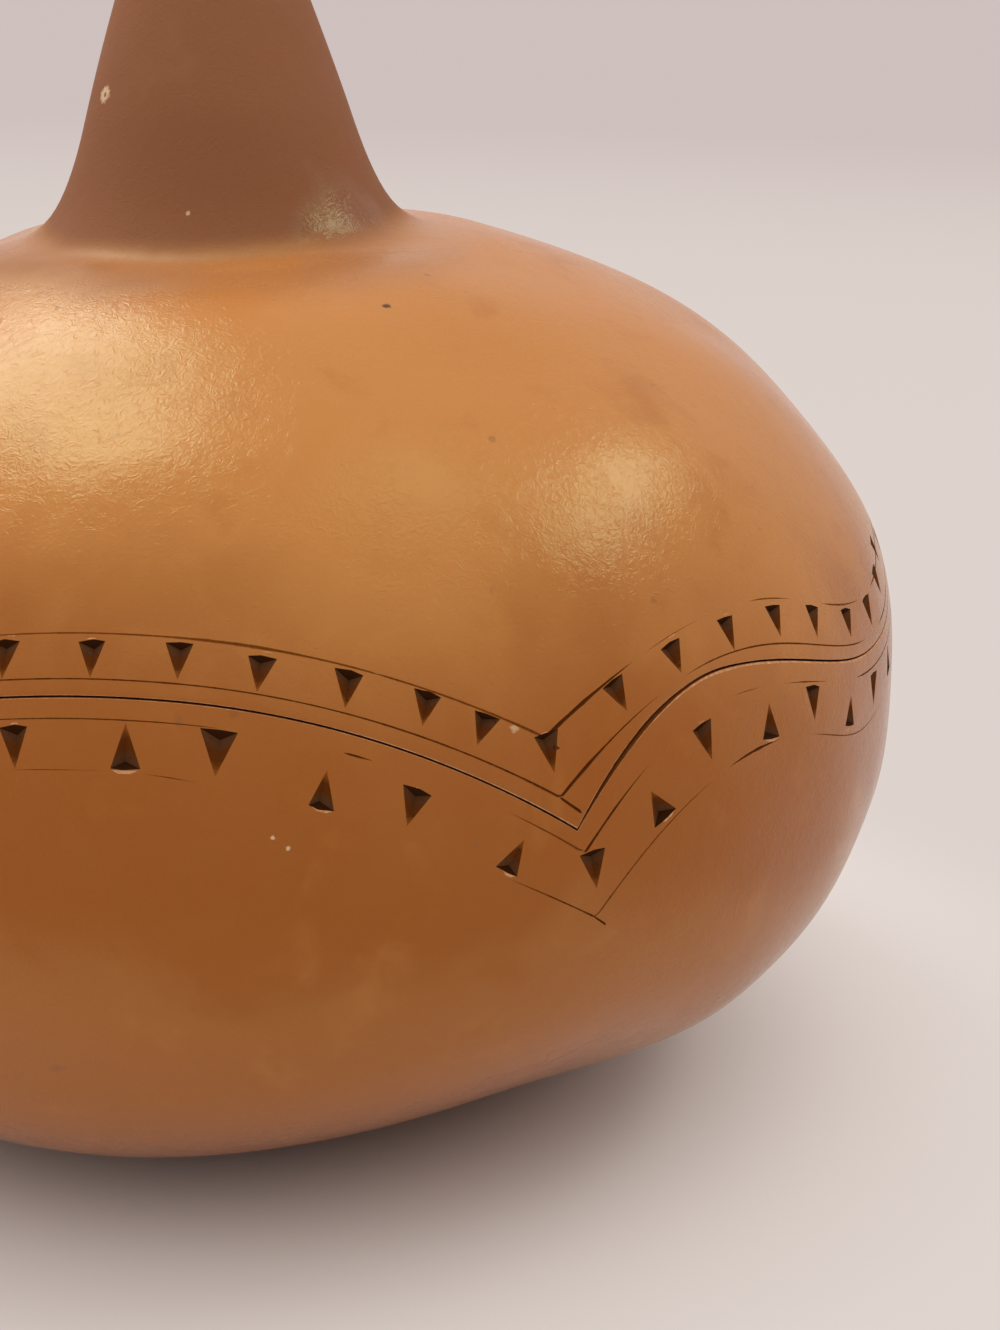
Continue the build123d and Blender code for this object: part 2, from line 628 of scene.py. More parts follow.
@dataclass(frozen=True, eq=False)
class Meridian:
    """A half profile of the gourd as a fine line from the base pole upwards."""

    reach: np.ndarray
    height: np.ndarray

    @cached_property
    def run(self) -> np.ndarray:
        """Length along the line at each of its points."""
        steps = np.hypot(np.diff(self.reach), np.diff(self.height))
        return np.concatenate([[0.0], np.cumsum(steps)])

    @cached_property
    def facing(self) -> tuple[np.ndarray, np.ndarray]:
        """Outward direction at each point, as its reach and height shares."""
        return np.gradient(self.height, self.run), -np.gradient(self.reach, self.run)

    def at(self, run: np.ndarray) -> tuple[np.ndarray, np.ndarray, np.ndarray, np.ndarray]:
        """Reach, height and outward direction at a run along the line."""
        lines = (self.reach, self.height, *self.facing)
        return tuple(np.interp(run, self.run, line) for line in lines)

    def reach_at(self, height: np.ndarray) -> np.ndarray:
        """Reach where the line passes a height."""
        return np.interp(height, self.height, self.reach)

    def run_at(self, height: np.ndarray) -> np.ndarray:
        """Run along the line where it passes a height."""
        return np.interp(height, self.height, self.run)


def bezier(corners: Sequence[tuple[float, float]], count: int = 400) -> np.ndarray:
    """Points of a cubic curve.

    Args:
        corners: Its four control points.
        count: How many points.

    Returns:
        The points, one to a row.
    """
    part = np.linspace(0.0, 1.0, count)[:, None]
    start, first, second, end = (np.array(corner) for corner in corners)
    rest = 1 - part
    return rest**3 * start + 3 * rest**2 * part * first + 3 * rest * part**2 * second + part**3 * end


@dataclass(frozen=True)
class Lump:
    """A soft dent (-) or swelling (+) of the real gourd: centre, how wide and how high, in millimetres."""

    angle: float
    height: float
    spread: float
    rise: float


@dataclass(frozen=True)
class GourdForm:
    """Outside and inside of the gourd about its leaning axis: the solids' profile, bent and dented."""

    equator_radius: float = 110.0 * MM
    base_depth: float = 65.4 * MM
    base_fullness: float = 0.70
    shoulder_radius: float = 44.6 * MM
    shoulder_height: float = 71.4 * MM
    shoulder_slope: float = 18.3
    dome_rise: float = 0.554
    dome_crown: float = 0.508
    flare_reach_body: float = 12.4 * MM
    flare_reach_neck: float = 23.2 * MM
    neck_radius: float = 21.1 * MM
    neck_height: float = 90.7 * MM
    neck_taper: float = 17.0
    tip_radius: float = 9.8 * MM
    tip_height: float = 131.0 * MM
    tip_taper: float = 10.0
    neck_swell: float = 0.38
    tip_rounding: float = 1.2 * MM
    lean: float = 3.2
    foot_trim: float = 1.3 * MM
    shell_wall: float = 5.5 * MM
    floor_wall: float = 7.0 * MM
    ceiling_height: float = 115.5 * MM
    pole_gap: float = 1.0 * MM
    lumps: tuple[Lump, ...] = (
        Lump(27.0, -47.0, 17.0, -2.4),
        Lump(-13.0, -51.0, 20.0, 0.4),
        Lump(46.0, -38.0, 10.0, 0.8),
        Lump(84.0, 43.0, 12.0, -0.5),
        Lump(78.0, 26.0, 9.0, 0.5),
        Lump(80.0, 13.0, 9.0, 0.5),
        Lump(92.0, 62.0, 22.0, 0.9),
        Lump(-104.0, 67.0, 10.0, -2.8),
        Lump(-36.0, 71.6, 1.8, 0.6),
        Lump(72.0, 1.0, 8.0, -0.8),
        Lump(150.0, 15.0, 30.0, 1.0),
        Lump(215.0, -25.0, 28.0, -1.2),
        Lump(265.0, 35.0, 26.0, 0.9),
    )
    neck_bend: float = 8.0 * MM
    bend_from: float = 56.0 * MM
    bend_full: float = 80.0 * MM
    bend_level: float = 94.0 * MM
    ripple_waves: int = 8
    ripple_lengths: Pair = (28.0, 75.0)
    ripple_height: float = 0.10 * MM
    tip_points: int = 12
    search_rounds: int = 40
    seed: int = 7

    def _wall(self, inset: float, depth: float) -> tuple[np.ndarray, np.ndarray, np.ndarray]:
        """Profile from the base pole to the neck, moved inwards.

        Args:
            inset: How far inside the skin it lies.
            depth: Depth of its base pole under the widest line.

        Returns:
            Its points, the point on the neck where it ends and its direction there.
        """
        slope = math.radians(self.shoulder_slope)
        taper = math.radians(self.neck_taper)
        down = np.array([math.cos(slope), -math.sin(slope)])
        up = np.array([-math.sin(taper), math.cos(taper)])
        wide = self.equator_radius - inset
        shoulder = np.array([self.shoulder_radius, self.shoulder_height])
        shoulder = shoulder + inset * np.array([down[1], -down[0]])
        neck = np.array([self.neck_radius, self.neck_height]) + inset * np.array([-up[1], up[0]])
        full = self.base_fullness
        base = bezier([(0, -depth), (full * wide, -depth), (wide, -full * depth), (wide, 0)])
        crown = shoulder + self.dome_crown * (wide - shoulder[0]) * down
        dome = bezier([(wide, 0), (wide, self.dome_rise * shoulder[1]), crown, shoulder])
        ease_in = shoulder - self.flare_reach_body * down
        flare = bezier([shoulder, ease_in, neck - self.flare_reach_neck * up, neck])
        return np.concatenate([base, dome[1:], flare[1:]]), neck, up

    @cached_property
    def outside(self) -> Meridian:
        """Profile of the skin, up over the rounded tip to the stem's seat."""
        wall, neck, up = self._wall(0.0, self.base_depth)
        rise = self.tip_height - self.neck_height
        taper = math.radians(self.tip_taper)
        tip = np.array([self.tip_radius, self.tip_height])
        down = np.array([math.sin(taper), -math.cos(taper)])
        stop = tip + self.tip_rounding * down
        seat = tip - np.array([self.tip_rounding, 0.0])
        reach_up = self.neck_swell * rise
        sides = bezier([neck, neck + reach_up * up, stop + reach_up * down, stop])
        edge = bezier([stop, (stop + 2 * tip) / 3, (seat + 2 * tip) / 3, seat], self.tip_points)
        flat = np.array([[self.pole_gap, self.tip_height]])
        line = np.concatenate([wall, sides[1:], edge[1:], flat])
        return Meridian(line[:, 0], line[:, 1])

    @cached_property
    def inside(self) -> Meridian:
        """Profile of the hollow, closed under the stem."""
        wall, neck, up = self._wall(self.shell_wall, self.base_depth - self.floor_wall)
        half = (self.ceiling_height - neck[1]) / 2
        ceiling = (0.0, self.ceiling_height)
        top = bezier([neck, neck + half * up, (neck[0] / 2, self.ceiling_height), ceiling])
        line = np.concatenate([wall, top[1:]])
        return Meridian(line[:, 0], line[:, 1])

    @cached_property
    def rise(self) -> float:
        """Height of the widest line over the floor, on a base rubbed flat."""
        lean = math.radians(self.lean)
        lowest = (self.outside.height * math.cos(lean) - self.outside.reach * math.sin(lean)).min()
        return -lowest - self.foot_trim

    def tilt(self, across: np.ndarray, back: np.ndarray, up: np.ndarray) -> np.ndarray:
        """Turn directions on the gourd's own axis into the leaning stand.

        Args:
            across: Share to the right of the gourd's own axis.
            back: Share away from the front.
            up: Share along the axis.

        Returns:
            The directions, one to a row, with the gourd leaning.
        """
        lean = math.radians(self.lean)
        x = across * math.cos(lean) - up * math.sin(lean)
        z = across * math.sin(lean) + up * math.cos(lean)
        return np.stack([x, back, z], axis=-1)

    def stand(self, across: float, back: float, up: float) -> Vector:
        """Point of the leaning stand, given on the gourd's own axis."""
        point = self.tilt(np.array(across), np.array(back), np.array(up))
        return Vector(point) + Vector((0.0, 0.0, self.rise))

    def locate(
        self, line: Meridian, angle: np.ndarray, height: np.ndarray
    ) -> tuple[np.ndarray, np.ndarray]:
        """Find a point of the leaning gourd by its angle and height as it stands.

        Args:
            line: Profile of the surface.
            angle: Degrees round, from the front.
            height: Metres over the widest line.

        Returns:
            The turn about the gourd's own axis in radians and the run along the profile.
        """
        lean = math.radians(self.lean)
        way = np.radians(angle)
        reach = np.full(np.shape(way), self.equator_radius)
        for _ in range(self.search_rounds):
            across = reach * np.sin(way) * math.cos(lean) + height * math.sin(lean)
            up = height * math.cos(lean) - reach * np.sin(way) * math.sin(lean)
            back = -reach * np.cos(way)
            reach = reach * line.reach_at(up) / np.hypot(across, back)
        return np.arctan2(across, -back), line.run_at(up)

    def spot(self, angle: float, height: float) -> Vector:
        """Point on the skin at degrees round and millimetres over the widest line."""
        turn, run = self.locate(self.outside, np.array([angle]), np.array([height * MM]))
        return Vector(self.bare(self.outside, turn, run)[0][0])

    def bare(self, line: Meridian, turn: np.ndarray, run: np.ndarray) -> tuple[np.ndarray, np.ndarray]:
        """Points on the form, before dents and cuts.

        Args:
            line: Profile of the surface.
            turn: Radians about the gourd's axis.
            run: Run along the profile.

        Returns:
            The points, and the outward direction at each.
        """
        reach, height, out, lift = line.at(run)
        forward, sunk = self._bend(height)
        height = height - sunk * np.cos(turn)
        base = self.tilt(reach * np.sin(turn), -reach * np.cos(turn) - forward, height)
        base[..., 2] += self.rise
        return base, self.tilt(out * np.sin(turn), -out * np.cos(turn), lift)

    def _bend(self, height: np.ndarray) -> tuple[np.ndarray, np.ndarray]:
        """Bend of the neck, whose foot stands nearer the front.

        Args:
            height: Heights over the widest line along the gourd's own axis.

        Returns:
            How far forward the form stands at each, and how far its front sinks.
        """

        def ease(none: float, full: float) -> np.ndarray:
            """Smooth share between the heights where there is none and all of it."""
            part = np.clip((height - none) / (full - none), 0.0, 1.0)
            return part**2 * (3 - 2 * part)

        most = self.neck_bend * ease(self.bend_from, self.bend_full)
        slope = math.tan(math.radians(self.shoulder_slope))
        sunk = slope * most * ease(self.bend_level, self.bend_full)
        return most * ease(self.tip_height, self.bend_full), sunk

    @cached_property
    def _dents(self) -> list[tuple[np.ndarray, float, float]]:
        """Centre, spread and rise of each lump, in metres."""
        return [
            (np.array(self.spot(lump.angle, lump.height)), lump.spread * MM, lump.rise * MM)
            for lump in self.lumps
        ]

    @cached_property
    def _ripples(self) -> list[tuple[np.ndarray, float]]:
        """Directions and phases of the faint long waves in the skin."""
        dice = random.Random(self.seed)
        waves = []
        for _ in range(self.ripple_waves):
            way = np.array([dice.gauss(0, 1) for _ in range(3)])
            length = dice.uniform(*self.ripple_lengths) * MM
            waves.append((way / np.linalg.norm(way) * 2 * math.pi / length, dice.uniform(0, 2 * math.pi)))
        return waves

    def uneven(self, base: np.ndarray) -> np.ndarray:
        """Dents, swellings and faint long waves of the skin.

        Args:
            base: Points on the form, one to a row.

        Returns:
            How far the skin stands out (+) or in (-) at each.
        """
        off = np.zeros(base.shape[:-1])
        for centre, spread, rise in self._dents:
            off += rise * np.exp(-((base - centre) ** 2).sum(axis=-1) / (2 * spread**2))
        for way, phase in self._ripples:
            off += self.ripple_height * np.sin(base @ way + phase)
        return off

    def points(
        self, line: Meridian, turn: np.ndarray, run: np.ndarray, sink: np.ndarray | float = 0.0
    ) -> np.ndarray:
        """Points of the real surface.

        Args:
            line: Profile of the surface.
            turn: Radians about the gourd's axis.
            run: Run along the profile.
            sink: How far the points lie under the surface.

        Returns:
            The points, none below the floor.
        """
        base, out = self.bare(line, turn, run)
        spots = base + out * (self.uneven(base) - sink)[..., None]
        spots[..., 2] = np.maximum(spots[..., 2], 0.0)
        return spots


@dataclass(frozen=True)
class Wave:
    """A hand-drawn wavy line round the gourd with one sharp key, through turns (degrees, height)."""

    key: Pair
    turns: tuple[Pair, ...]
    fall_curve: float = KEY_CURVE
    climb_curve: float = KEY_CURVE

    def heights(self, angle: np.ndarray) -> np.ndarray:
        """Heights of the line.

        Args:
            angle: Degrees round, from the front.

        Returns:
            Millimetres over the widest line at each angle.
        """
        start, low = self.key
        stops = [self.key, *self.turns, (start + 360.0, low)]
        along = (np.asarray(angle) - start) % 360.0 + start
        result = np.zeros(along.shape)
        last = len(stops) - 2
        for index, ((left, begin), (right, end)) in enumerate(zip(stops, stops[1:])):
            part = np.clip((along - left) / (right - left), 0.0, 1.0)
            if index == 0:
                shape = 1 - (1 - part) ** self.climb_curve
            elif index == last:
                shape = part**self.fall_curve
            else:
                shape = (1 - np.cos(np.pi * part)) / 2
            here = (along >= left) & (along <= right)
            result = np.where(here, begin + (end - begin) * shape, result)
        return result

    def height(self, angle: float) -> float:
        """Height of the line at one angle."""
        return float(self.heights(np.array([angle]))[0])

    def slope(self, angle: float, radius: float) -> float:
        """Climb of the line.

        Args:
            angle: Degrees round, from the front.
            radius: Radius of the gourd there, in millimetres.

        Returns:
            Millimetres up for each millimetre round.
        """
        step = 0.5
        low, high = self.heights(np.array([angle - step, angle + step]))
        return float(high - low) / (2 * math.radians(step) * radius)

    def beside(
        self, offset: float, key: Pair, first: tuple[Pair, ...], fall_curve: float = KEY_CURVE
    ) -> "Wave":
        """A line drawn along this one.

        Args:
            offset: Millimetres over (+) or under (-) this line.
            key: Angle and height of its own sharp turn.
            first: Its own first turning points after the key, in place of this line's.
            fall_curve: How late the line falls to the key.

        Returns:
            The new line.
        """
        moved = tuple((angle, height + offset) for angle, height in self.turns[len(first):])
        return Wave(key, first + moved, fall_curve)


@dataclass(frozen=True, eq=False)
class Pit:
    """A chip cut out with a blade: a hollow pyramid, in unrolled millimetres (round, up).

    The mouth's first two sides are its wide end, which the steep walls rise to.
    """

    mouth: np.ndarray
    low_point: np.ndarray
    depth: float
    finish: Finish
    tip: np.ndarray
    facet_char: float = 0.72
    steep_sides: int = 2

    @cached_property
    def sides(self) -> list[tuple[np.ndarray, np.ndarray]]:
        """Start and inward direction of each side of the mouth."""
        middle = self.mouth.mean(axis=0)
        found = []
        for start, end in zip(self.mouth, np.roll(self.mouth, -1, axis=0)):
            along = (end - start) / np.linalg.norm(end - start)
            inward = np.array([-along[1], along[0]])
            found.append((start, inward if inward @ (middle - start) > 0 else -inward))
        return found

    def _shares(self, spots: np.ndarray) -> np.ndarray:
        """How far spots lie inside each side of the mouth.

        Args:
            spots: Points, one to a row.

        Returns:
            A row of shares for each side, where the deepest point has 1.
        """
        return np.array(
            [((spots - start) @ way) / ((self.low_point - start) @ way) for start, way in self.sides]
        )

    def level(self, spots: np.ndarray) -> np.ndarray:
        """1 at the deepest point, 0 at the mouth's sides and negative outside."""
        return self._shares(spots).min(axis=0)

    def sink(self, spots: np.ndarray) -> np.ndarray:
        """Depth under the skin, in millimetres."""
        return self.depth * np.clip(self.level(spots), 0.0, None)

    def char(self, corners: np.ndarray, middles: np.ndarray) -> np.ndarray:
        """How black the faces are at their corners: fully on the steep walls at the wide end, which is
        burn and painted shade in one, and on the facets less towards the tip.

        Args:
            corners: Corner points of each face.
            middles: Middle of each face.

        Returns:
            A number for each corner, from 0 to 1.
        """
        # Full black on the steep walls at the wide end: burn and painted shade in the chip's recess.
        steep = self._shares(middles).argmin(axis=0) < self.steep_sides
        whole = np.linalg.norm(self.low_point - self.tip)
        fade = np.clip(np.linalg.norm(corners - self.tip, axis=-1) / whole, 0.0, 1.0)
        return np.where(steep[:, None], 1.0, self.facet_char * fade)

    def near(self, spots: np.ndarray, margin: float) -> np.ndarray:
        """Which spots lie inside the mouth or within a margin of it."""
        gaps = np.array([(spots - start) @ way for start, way in self.sides])
        return gaps.min(axis=0) > -margin

    def outline(self) -> tuple[list[np.ndarray], list[tuple[int, int]]]:
        """Lines that the mesh has to keep.

        Returns:
            The corners and the deepest point, and the edges between them by index.
        """
        count = len(self.mouth)
        spots = [*self.mouth, self.low_point]
        rim = [(i, (i + 1) % count) for i in range(count)]
        return spots, rim + [(i, count) for i in range(count)]


@dataclass(frozen=True, eq=False)
class Groove:
    """A scratched line: its path round and up and its half width, all in unrolled millimetres."""

    along: np.ndarray
    up: np.ndarray
    half: np.ndarray
    dark: float
    depth_share: float = 0.9
    least_half: float = 1e-6
    finish: Finish = Finish.BURNT_AND_SHADE

    @cached_property
    def half_up(self) -> np.ndarray:
        """Half width measured straight up."""
        slope = np.gradient(self.up, self.along)
        return self.half * np.sqrt(1 + slope**2)

    def _beside(self, spots: np.ndarray, margin: float = 0.0) -> tuple[np.ndarray, np.ndarray, np.ndarray]:
        """Measure spots against the line.

        Args:
            spots: Points, one to a row.
            margin: How far the line is taken to go on past its ends.

        Returns:
            Which spots the line passes, their distance from it and its half width there, straight up.
        """
        across = spots[:, 0]
        passed = (across > self.along[0] - margin) & (across < self.along[-1] + margin)
        off = np.abs(spots[:, 1] - np.interp(across, self.along, self.up))
        return passed, off, np.interp(across, self.along, self.half_up)

    def level(self, spots: np.ndarray) -> np.ndarray:
        """1 on the centre line, 0 at the edges and negative outside."""
        passed, off, half = self._beside(spots)
        return np.where(passed, 1 - off / np.maximum(half, self.least_half), -1.0)

    def sink(self, spots: np.ndarray) -> np.ndarray:
        """Depth under the skin, in millimetres."""
        half = np.interp(spots[:, 0], self.along, self.half)
        return self.depth_share * half * np.clip(self.level(spots), 0.0, None)

    def char(self, corners: np.ndarray, middles: np.ndarray) -> np.ndarray:
        """How black the faces of the line are burnt, the same at all their corners."""
        return np.full(corners.shape[:2], self.dark)

    def near(self, spots: np.ndarray, margin: float) -> np.ndarray:
        """Which spots lie in the line or within a margin of it."""
        passed, off, half = self._beside(spots, margin)
        return passed & (off < half + margin)

    def outline(self) -> tuple[list[np.ndarray], list[tuple[int, int]]]:
        """Lines that the mesh has to keep, which meet in a point at each end.

        Returns:
            The points of the centre line and both sides, and the edges between them by index.
        """
        count = len(self.along)
        centre = np.stack([self.along, self.up], axis=1)
        lift = np.stack([np.zeros(count), self.half_up], axis=1)
        inner = slice(1, count - 1)
        spots = [*centre, *(centre + lift)[inner], *(centre - lift)[inner]]
        lines = [list(range(count))]
        for side in range(2):
            first = count + side * (count - 2)
            lines.append([0, *range(first, first + count - 2), count - 1])
        return spots, [pair for line in lines for pair in zip(line, line[1:])]


Cut = Pit | Groove


@dataclass(frozen=True)
class Handwork:
    """How uneven the hand-cut marks are: the shares, odds, millimetres and degrees that the dice draw."""

    chip_skew: float = 0.1
    chip_half: Pair = (0.46, 0.54)
    chip_corner: Pair = (-0.05, 0.2)
    chip_crown: Pair = (0.05, 0.22)
    chip_low: Pair = (0.15, 0.22)
    chip_depth: Pair = (0.85, 1.15)
    chip_place: float = 0.5
    upper_size: Pair = (0.92, 1.05)
    lower_size: Pair = (0.9, 1.1)
    upper_odds: float = 0.45
    upper_flake: Pair = (0.2, 0.5)
    lower_odds: float = 0.25
    rising_flake: Pair = (0.6, 0.85)
    wobble: Pair = (0.85, 1.15)
    stretch: Pair = (14.0, 40.0)
    stretch_width: Pair = (0.7, 1.3)
    stretch_dark: Pair = (0.15, 0.4)
    stretch_gap: Pair = (0.4, 3.0)


@dataclass
class Carving:
    """The border cut along both sides of the saw cut: scratched lines and rows of three-cornered chips."""

    radius: float = 110.0
    seam_height: float = 19.7
    seam_swing: float = 3.4
    gaps: tuple[Pair, ...] = (
        (18.0, 0.3), (22.9, 0.36), (24.5, 0.8), (26.5, 1.05), (29.0, 1.0), (33.0, 0.5), (40.0, 0.3),
    )
    key_angle: float = 22.9
    key_height: float = 5.0
    swings: tuple[Pair, ...] = (
        (38.0, 0.8), (60.5, -1.0), (84.0, 1.0), (108.0, -0.9), (132.0, 0.9), (156.0, -1.1), (181.0, 1.0),
        (207.0, -0.9), (232.0, 0.8), (257.0, -1.0), (282.0, 1.1), (316.0, -0.8), (351.0, 1.3),
    )
    upper_width: float = 3.9
    upper_length: float = 4.3
    lower_width: float = 3.8
    lower_length: float = 4.9
    chip_depth: float = 1.0
    chip_clear: float = 1.5
    upper_pitch: float = 6.0
    lower_pitch: float = 6.9
    chip_gap: float = 1.0
    upper_key: float = 20.8
    upper_key_shares: Pair = (0.9, 1.22)
    upper_key_aim: float = -79.0
    lower_key: float = 24.1
    lower_key_aim: float = -84.0
    nick_slip: float = 0.55
    nick_height: float = 16.5
    nick_size: Pair = (0.8, 0.95)
    nick_aim: float = -12.0
    # Pale slivers beside the chips' wide ends: partly flesh where the skin split off, partly painted
    # glints.
    flake_gap: float = 0.04
    flake_depth: float = 0.08
    flake_ends: Pair = (0.75, 0.3)
    upper_flake_reach: float = 0.16
    rising_flake_reach: float = 0.4
    falling_flake_share: float = 0.3
    falling_flake_reach: float = 0.2
    stroke_step: float = 0.6
    stroke_points: int = 3
    slash_shape: tuple[Pair, ...] = ((0.0, 0.0), (0.12, 0.8), (0.5, 0.9), (0.9, 1.0), (1.0, 0.0))
    back_end: float = 335.0
    back_least: float = 4.0
    back_lead: float = 1.5
    back_middle: float = 0.8
    cut_clear: float = 0.3
    cut_near: float = 0.5
    hand: Handwork = Handwork()
    seed: int = 21
    dice: random.Random = field(init=False)

    # Chips of the front: degrees and height of the middle of the wide end. The lower ones, with their
    # own widths and lengths, point down and up in turn.
    upper_front: tuple[Pair, ...] = (
        (-17.5, 29.9), (-11.3, 30.6), (-5.0, 30.8), (0.8, 29.4), (6.8, 27.6), (12.3, 24.8), (16.5, 21.5),
        (20.8, 18.4), (26.6, 23.7), (32.5, 27.2), (39.0, 28.8), (45.2, 28.6), (50.8, 26.7), (56.7, 24.1),
        (61.9, 23.8), (67.1, 26.1), (71.4, 29.0),
    )
    lower_front: tuple[tuple[float, float, float, float], ...] = (
        (-16.2, 20.2, 4.0, 5.2), (-8.3, 15.9, 3.9, 5.5), (-2.2, 20.9, 5.0, 5.6), (4.6, 11.2, 3.5, 4.8),
        (11.2, 12.9, 4.2, 4.8), (17.4, 1.0, 3.6, 4.8), (24.1, 1.9, 4.3, 5.6), (30.5, 4.3, 4.0, 5.0),
        (34.2, 16.0, 3.9, 5.3), (41.7, 11.4, 3.9, 4.9), (48.0, 16.3, 3.9, 4.9), (53.9, 7.8, 3.9, 4.5),
        (60.9, 12.6, 3.8, 5.2),
    )

    def __post_init__(self) -> None:
        """Start the dice that make the cuts uneven."""
        self.dice = random.Random(self.seed)

    @cached_property
    def seam(self) -> Wave:
        """The saw cut, as heights of the bowl's edge."""
        turns = tuple((angle, self.seam_height + self.seam_swing * level) for angle, level in self.swings)
        return Wave((self.key_angle, self.key_height), turns)

    @cached_property
    def lid_outer(self) -> Wave:
        """Line over the upper chips."""
        return self.seam.beside(offset=7.4, key=(20.7, 17.9), first=((42.0, 30.0), (60.5, 24.2)))

    @cached_property
    def lid_inner(self) -> Wave:
        """Line close over the saw cut."""
        return self.seam.beside(offset=2.2, key=(21.6, 9.9), first=((40.0, 24.3), (60.5, 18.4)))

    @cached_property
    def bowl_inner(self) -> Wave:
        """Line close under the saw cut."""
        return self.seam.beside(offset=-2.4, key=(23.5, 1.8), first=((39.5, 18.8), (60.5, 13.6)))

    @cached_property
    def bowl_outer(self) -> Wave:
        """Line under the lower chips."""
        first = ((42.5, 10.8), (58.0, 5.5))
        return self.seam.beside(offset=-8.5, key=(24.7, -7.8), first=first, fall_curve=1.7)

    def gap(self, angles: np.ndarray) -> np.ndarray:
        """Height of the open saw cut at angles in degrees, wider where it climbs."""
        knots = np.array(self.gaps)
        return np.interp(angles, knots[:, 0], knots[:, 1], period=360.0)

    @property
    def cut_line(self) -> float:
        """Angle behind the key where the unrolled band starts and ends."""
        return self.key_angle + 180.0

    def _round(self, angle: float | np.ndarray) -> float | np.ndarray:
        """Millimetres round the gourd, unrolled from the cut line behind the key."""
        return np.radians((np.asarray(angle) - self.key_angle + 180.0) % 360.0) * self.radius

    def chip(self, wide: Pair, width: float, length: float, aim: float) -> Pit:
        """One three-cornered chip.

        Args:
            wide: Degrees and height of the middle of its wide end.
            width: Width of the wide end.
            length: From the wide end to the tip.
            aim: Which way the tip points, in degrees from straight round to straight up.

        Returns:
            The chip.
        """
        across = np.array([math.cos(math.radians(aim)), math.sin(math.radians(aim))])
        along = np.array([-across[1], across[0]])
        middle = np.array([float(self._round(wide[0])), wide[1]])
        dice, hand = self.dice, self.hand
        skew = dice.uniform(-hand.chip_skew, hand.chip_skew) * width
        corners = []
        for side in (-along, along):
            half = side * width * dice.uniform(*hand.chip_half)
            corners.append(middle + half + across * dice.uniform(*hand.chip_corner))
        left, right = corners
        crown = middle + along * skew - across * dice.uniform(*hand.chip_crown)
        tip = middle + across * length + along * skew
        low = middle + across * length * dice.uniform(*hand.chip_low) + along * skew
        depth = self.chip_depth * min(width / self.upper_width, 1.0) * dice.uniform(*hand.chip_depth)
        return Pit(np.array([left, crown, right, tip]), low, depth, Finish.BURNT_AND_SHADE, tip)

    def _aim(self, line: Wave, angle: float, upwards: bool) -> float:
        """Which way a chip points that stands square to a line."""
        lean = math.degrees(math.atan(line.slope(angle, self.radius)))
        return lean + (90.0 if upwards else -90.0)

    def flake_and_glint(self, pit: Pit, share: float, reach: float) -> Pit:
        """Pale sliver beside a chip's wide end: partly flesh where the skin split off, partly a painted
        glint on the edge.

        Args:
            pit: The chip.
            share: Part of the wide end that it runs along.
            reach: How far it spreads from the chip.

        Returns:
            The sliver.
        """
        left, crown, right, tip = pit.mouth
        start = left + (right - left) * self.dice.uniform(0.0, 1.0 - share)
        end = start + (right - left) * share
        out = (start + end) / 2 - tip
        out = out / np.linalg.norm(out)
        lift = max(float((crown - left) @ out), 0.0) + self.flake_gap
        start = start + out * lift
        end = end + out * lift
        far = [end * part + start * (1 - part) + out * reach for part in self.flake_ends]
        mouth = np.array([start, end, *far])
        return Pit(mouth, mouth.mean(axis=0), self.flake_depth, Finish.FLESH, tip)

    def _behind(self, start: float, end: float, pitch: float) -> Iterable[float]:
        """Place the chips that go on round the back, a little unevenly.

        Args:
            start: Angle of the last chip before the back.
            end: Angle of the first chip after it.
            pitch: Degrees from chip to chip, about.

        Returns:
            The angles, clear of the cut line.
        """
        count = round((end - start) / pitch)
        slip = self.hand.chip_place
        for step in range(1, count):
            angle = start + (end - start) * step / count + self.dice.uniform(-slip, slip)
            past = angle - self.cut_line
            if abs(past) < self.chip_clear:
                angle = self.cut_line + math.copysign(self.chip_clear, past)
            yield angle

    def lid_chips(self) -> list[Cut]:
        """Cut the row of chips over the saw cut, all pointing down, with a small nick at the key.

        Returns:
            The chips and the pale slivers beside them, partly painted glints.
        """
        dice, hand = self.dice, self.hand
        first = self.upper_front[0][0] + 360.0
        behind = self._behind(self.upper_front[-1][0], first, self.upper_pitch)
        line = self.lid_outer
        places = [*self.upper_front, *((angle, line.height(angle) - self.chip_gap) for angle in behind)]
        found: list[Cut] = []
        for angle, height in places:
            if angle == self.upper_key:
                wide, long = self.upper_key_shares
                aim = self.upper_key_aim
            else:
                wide, long = (dice.uniform(*hand.upper_size) for _ in range(2))
                aim = self._aim(line, angle, False)
            chip = self.chip((angle, height), self.upper_width * wide, self.upper_length * long, aim)
            found.append(chip)
            if dice.random() < hand.upper_odds:
                found.append(self.flake_and_glint(chip, dice.uniform(*hand.upper_flake), self.upper_flake_reach))
        nick = (self.upper_key + self.nick_slip, self.nick_height)
        found.append(self.chip(nick, *self.nick_size, self.nick_aim))
        return found

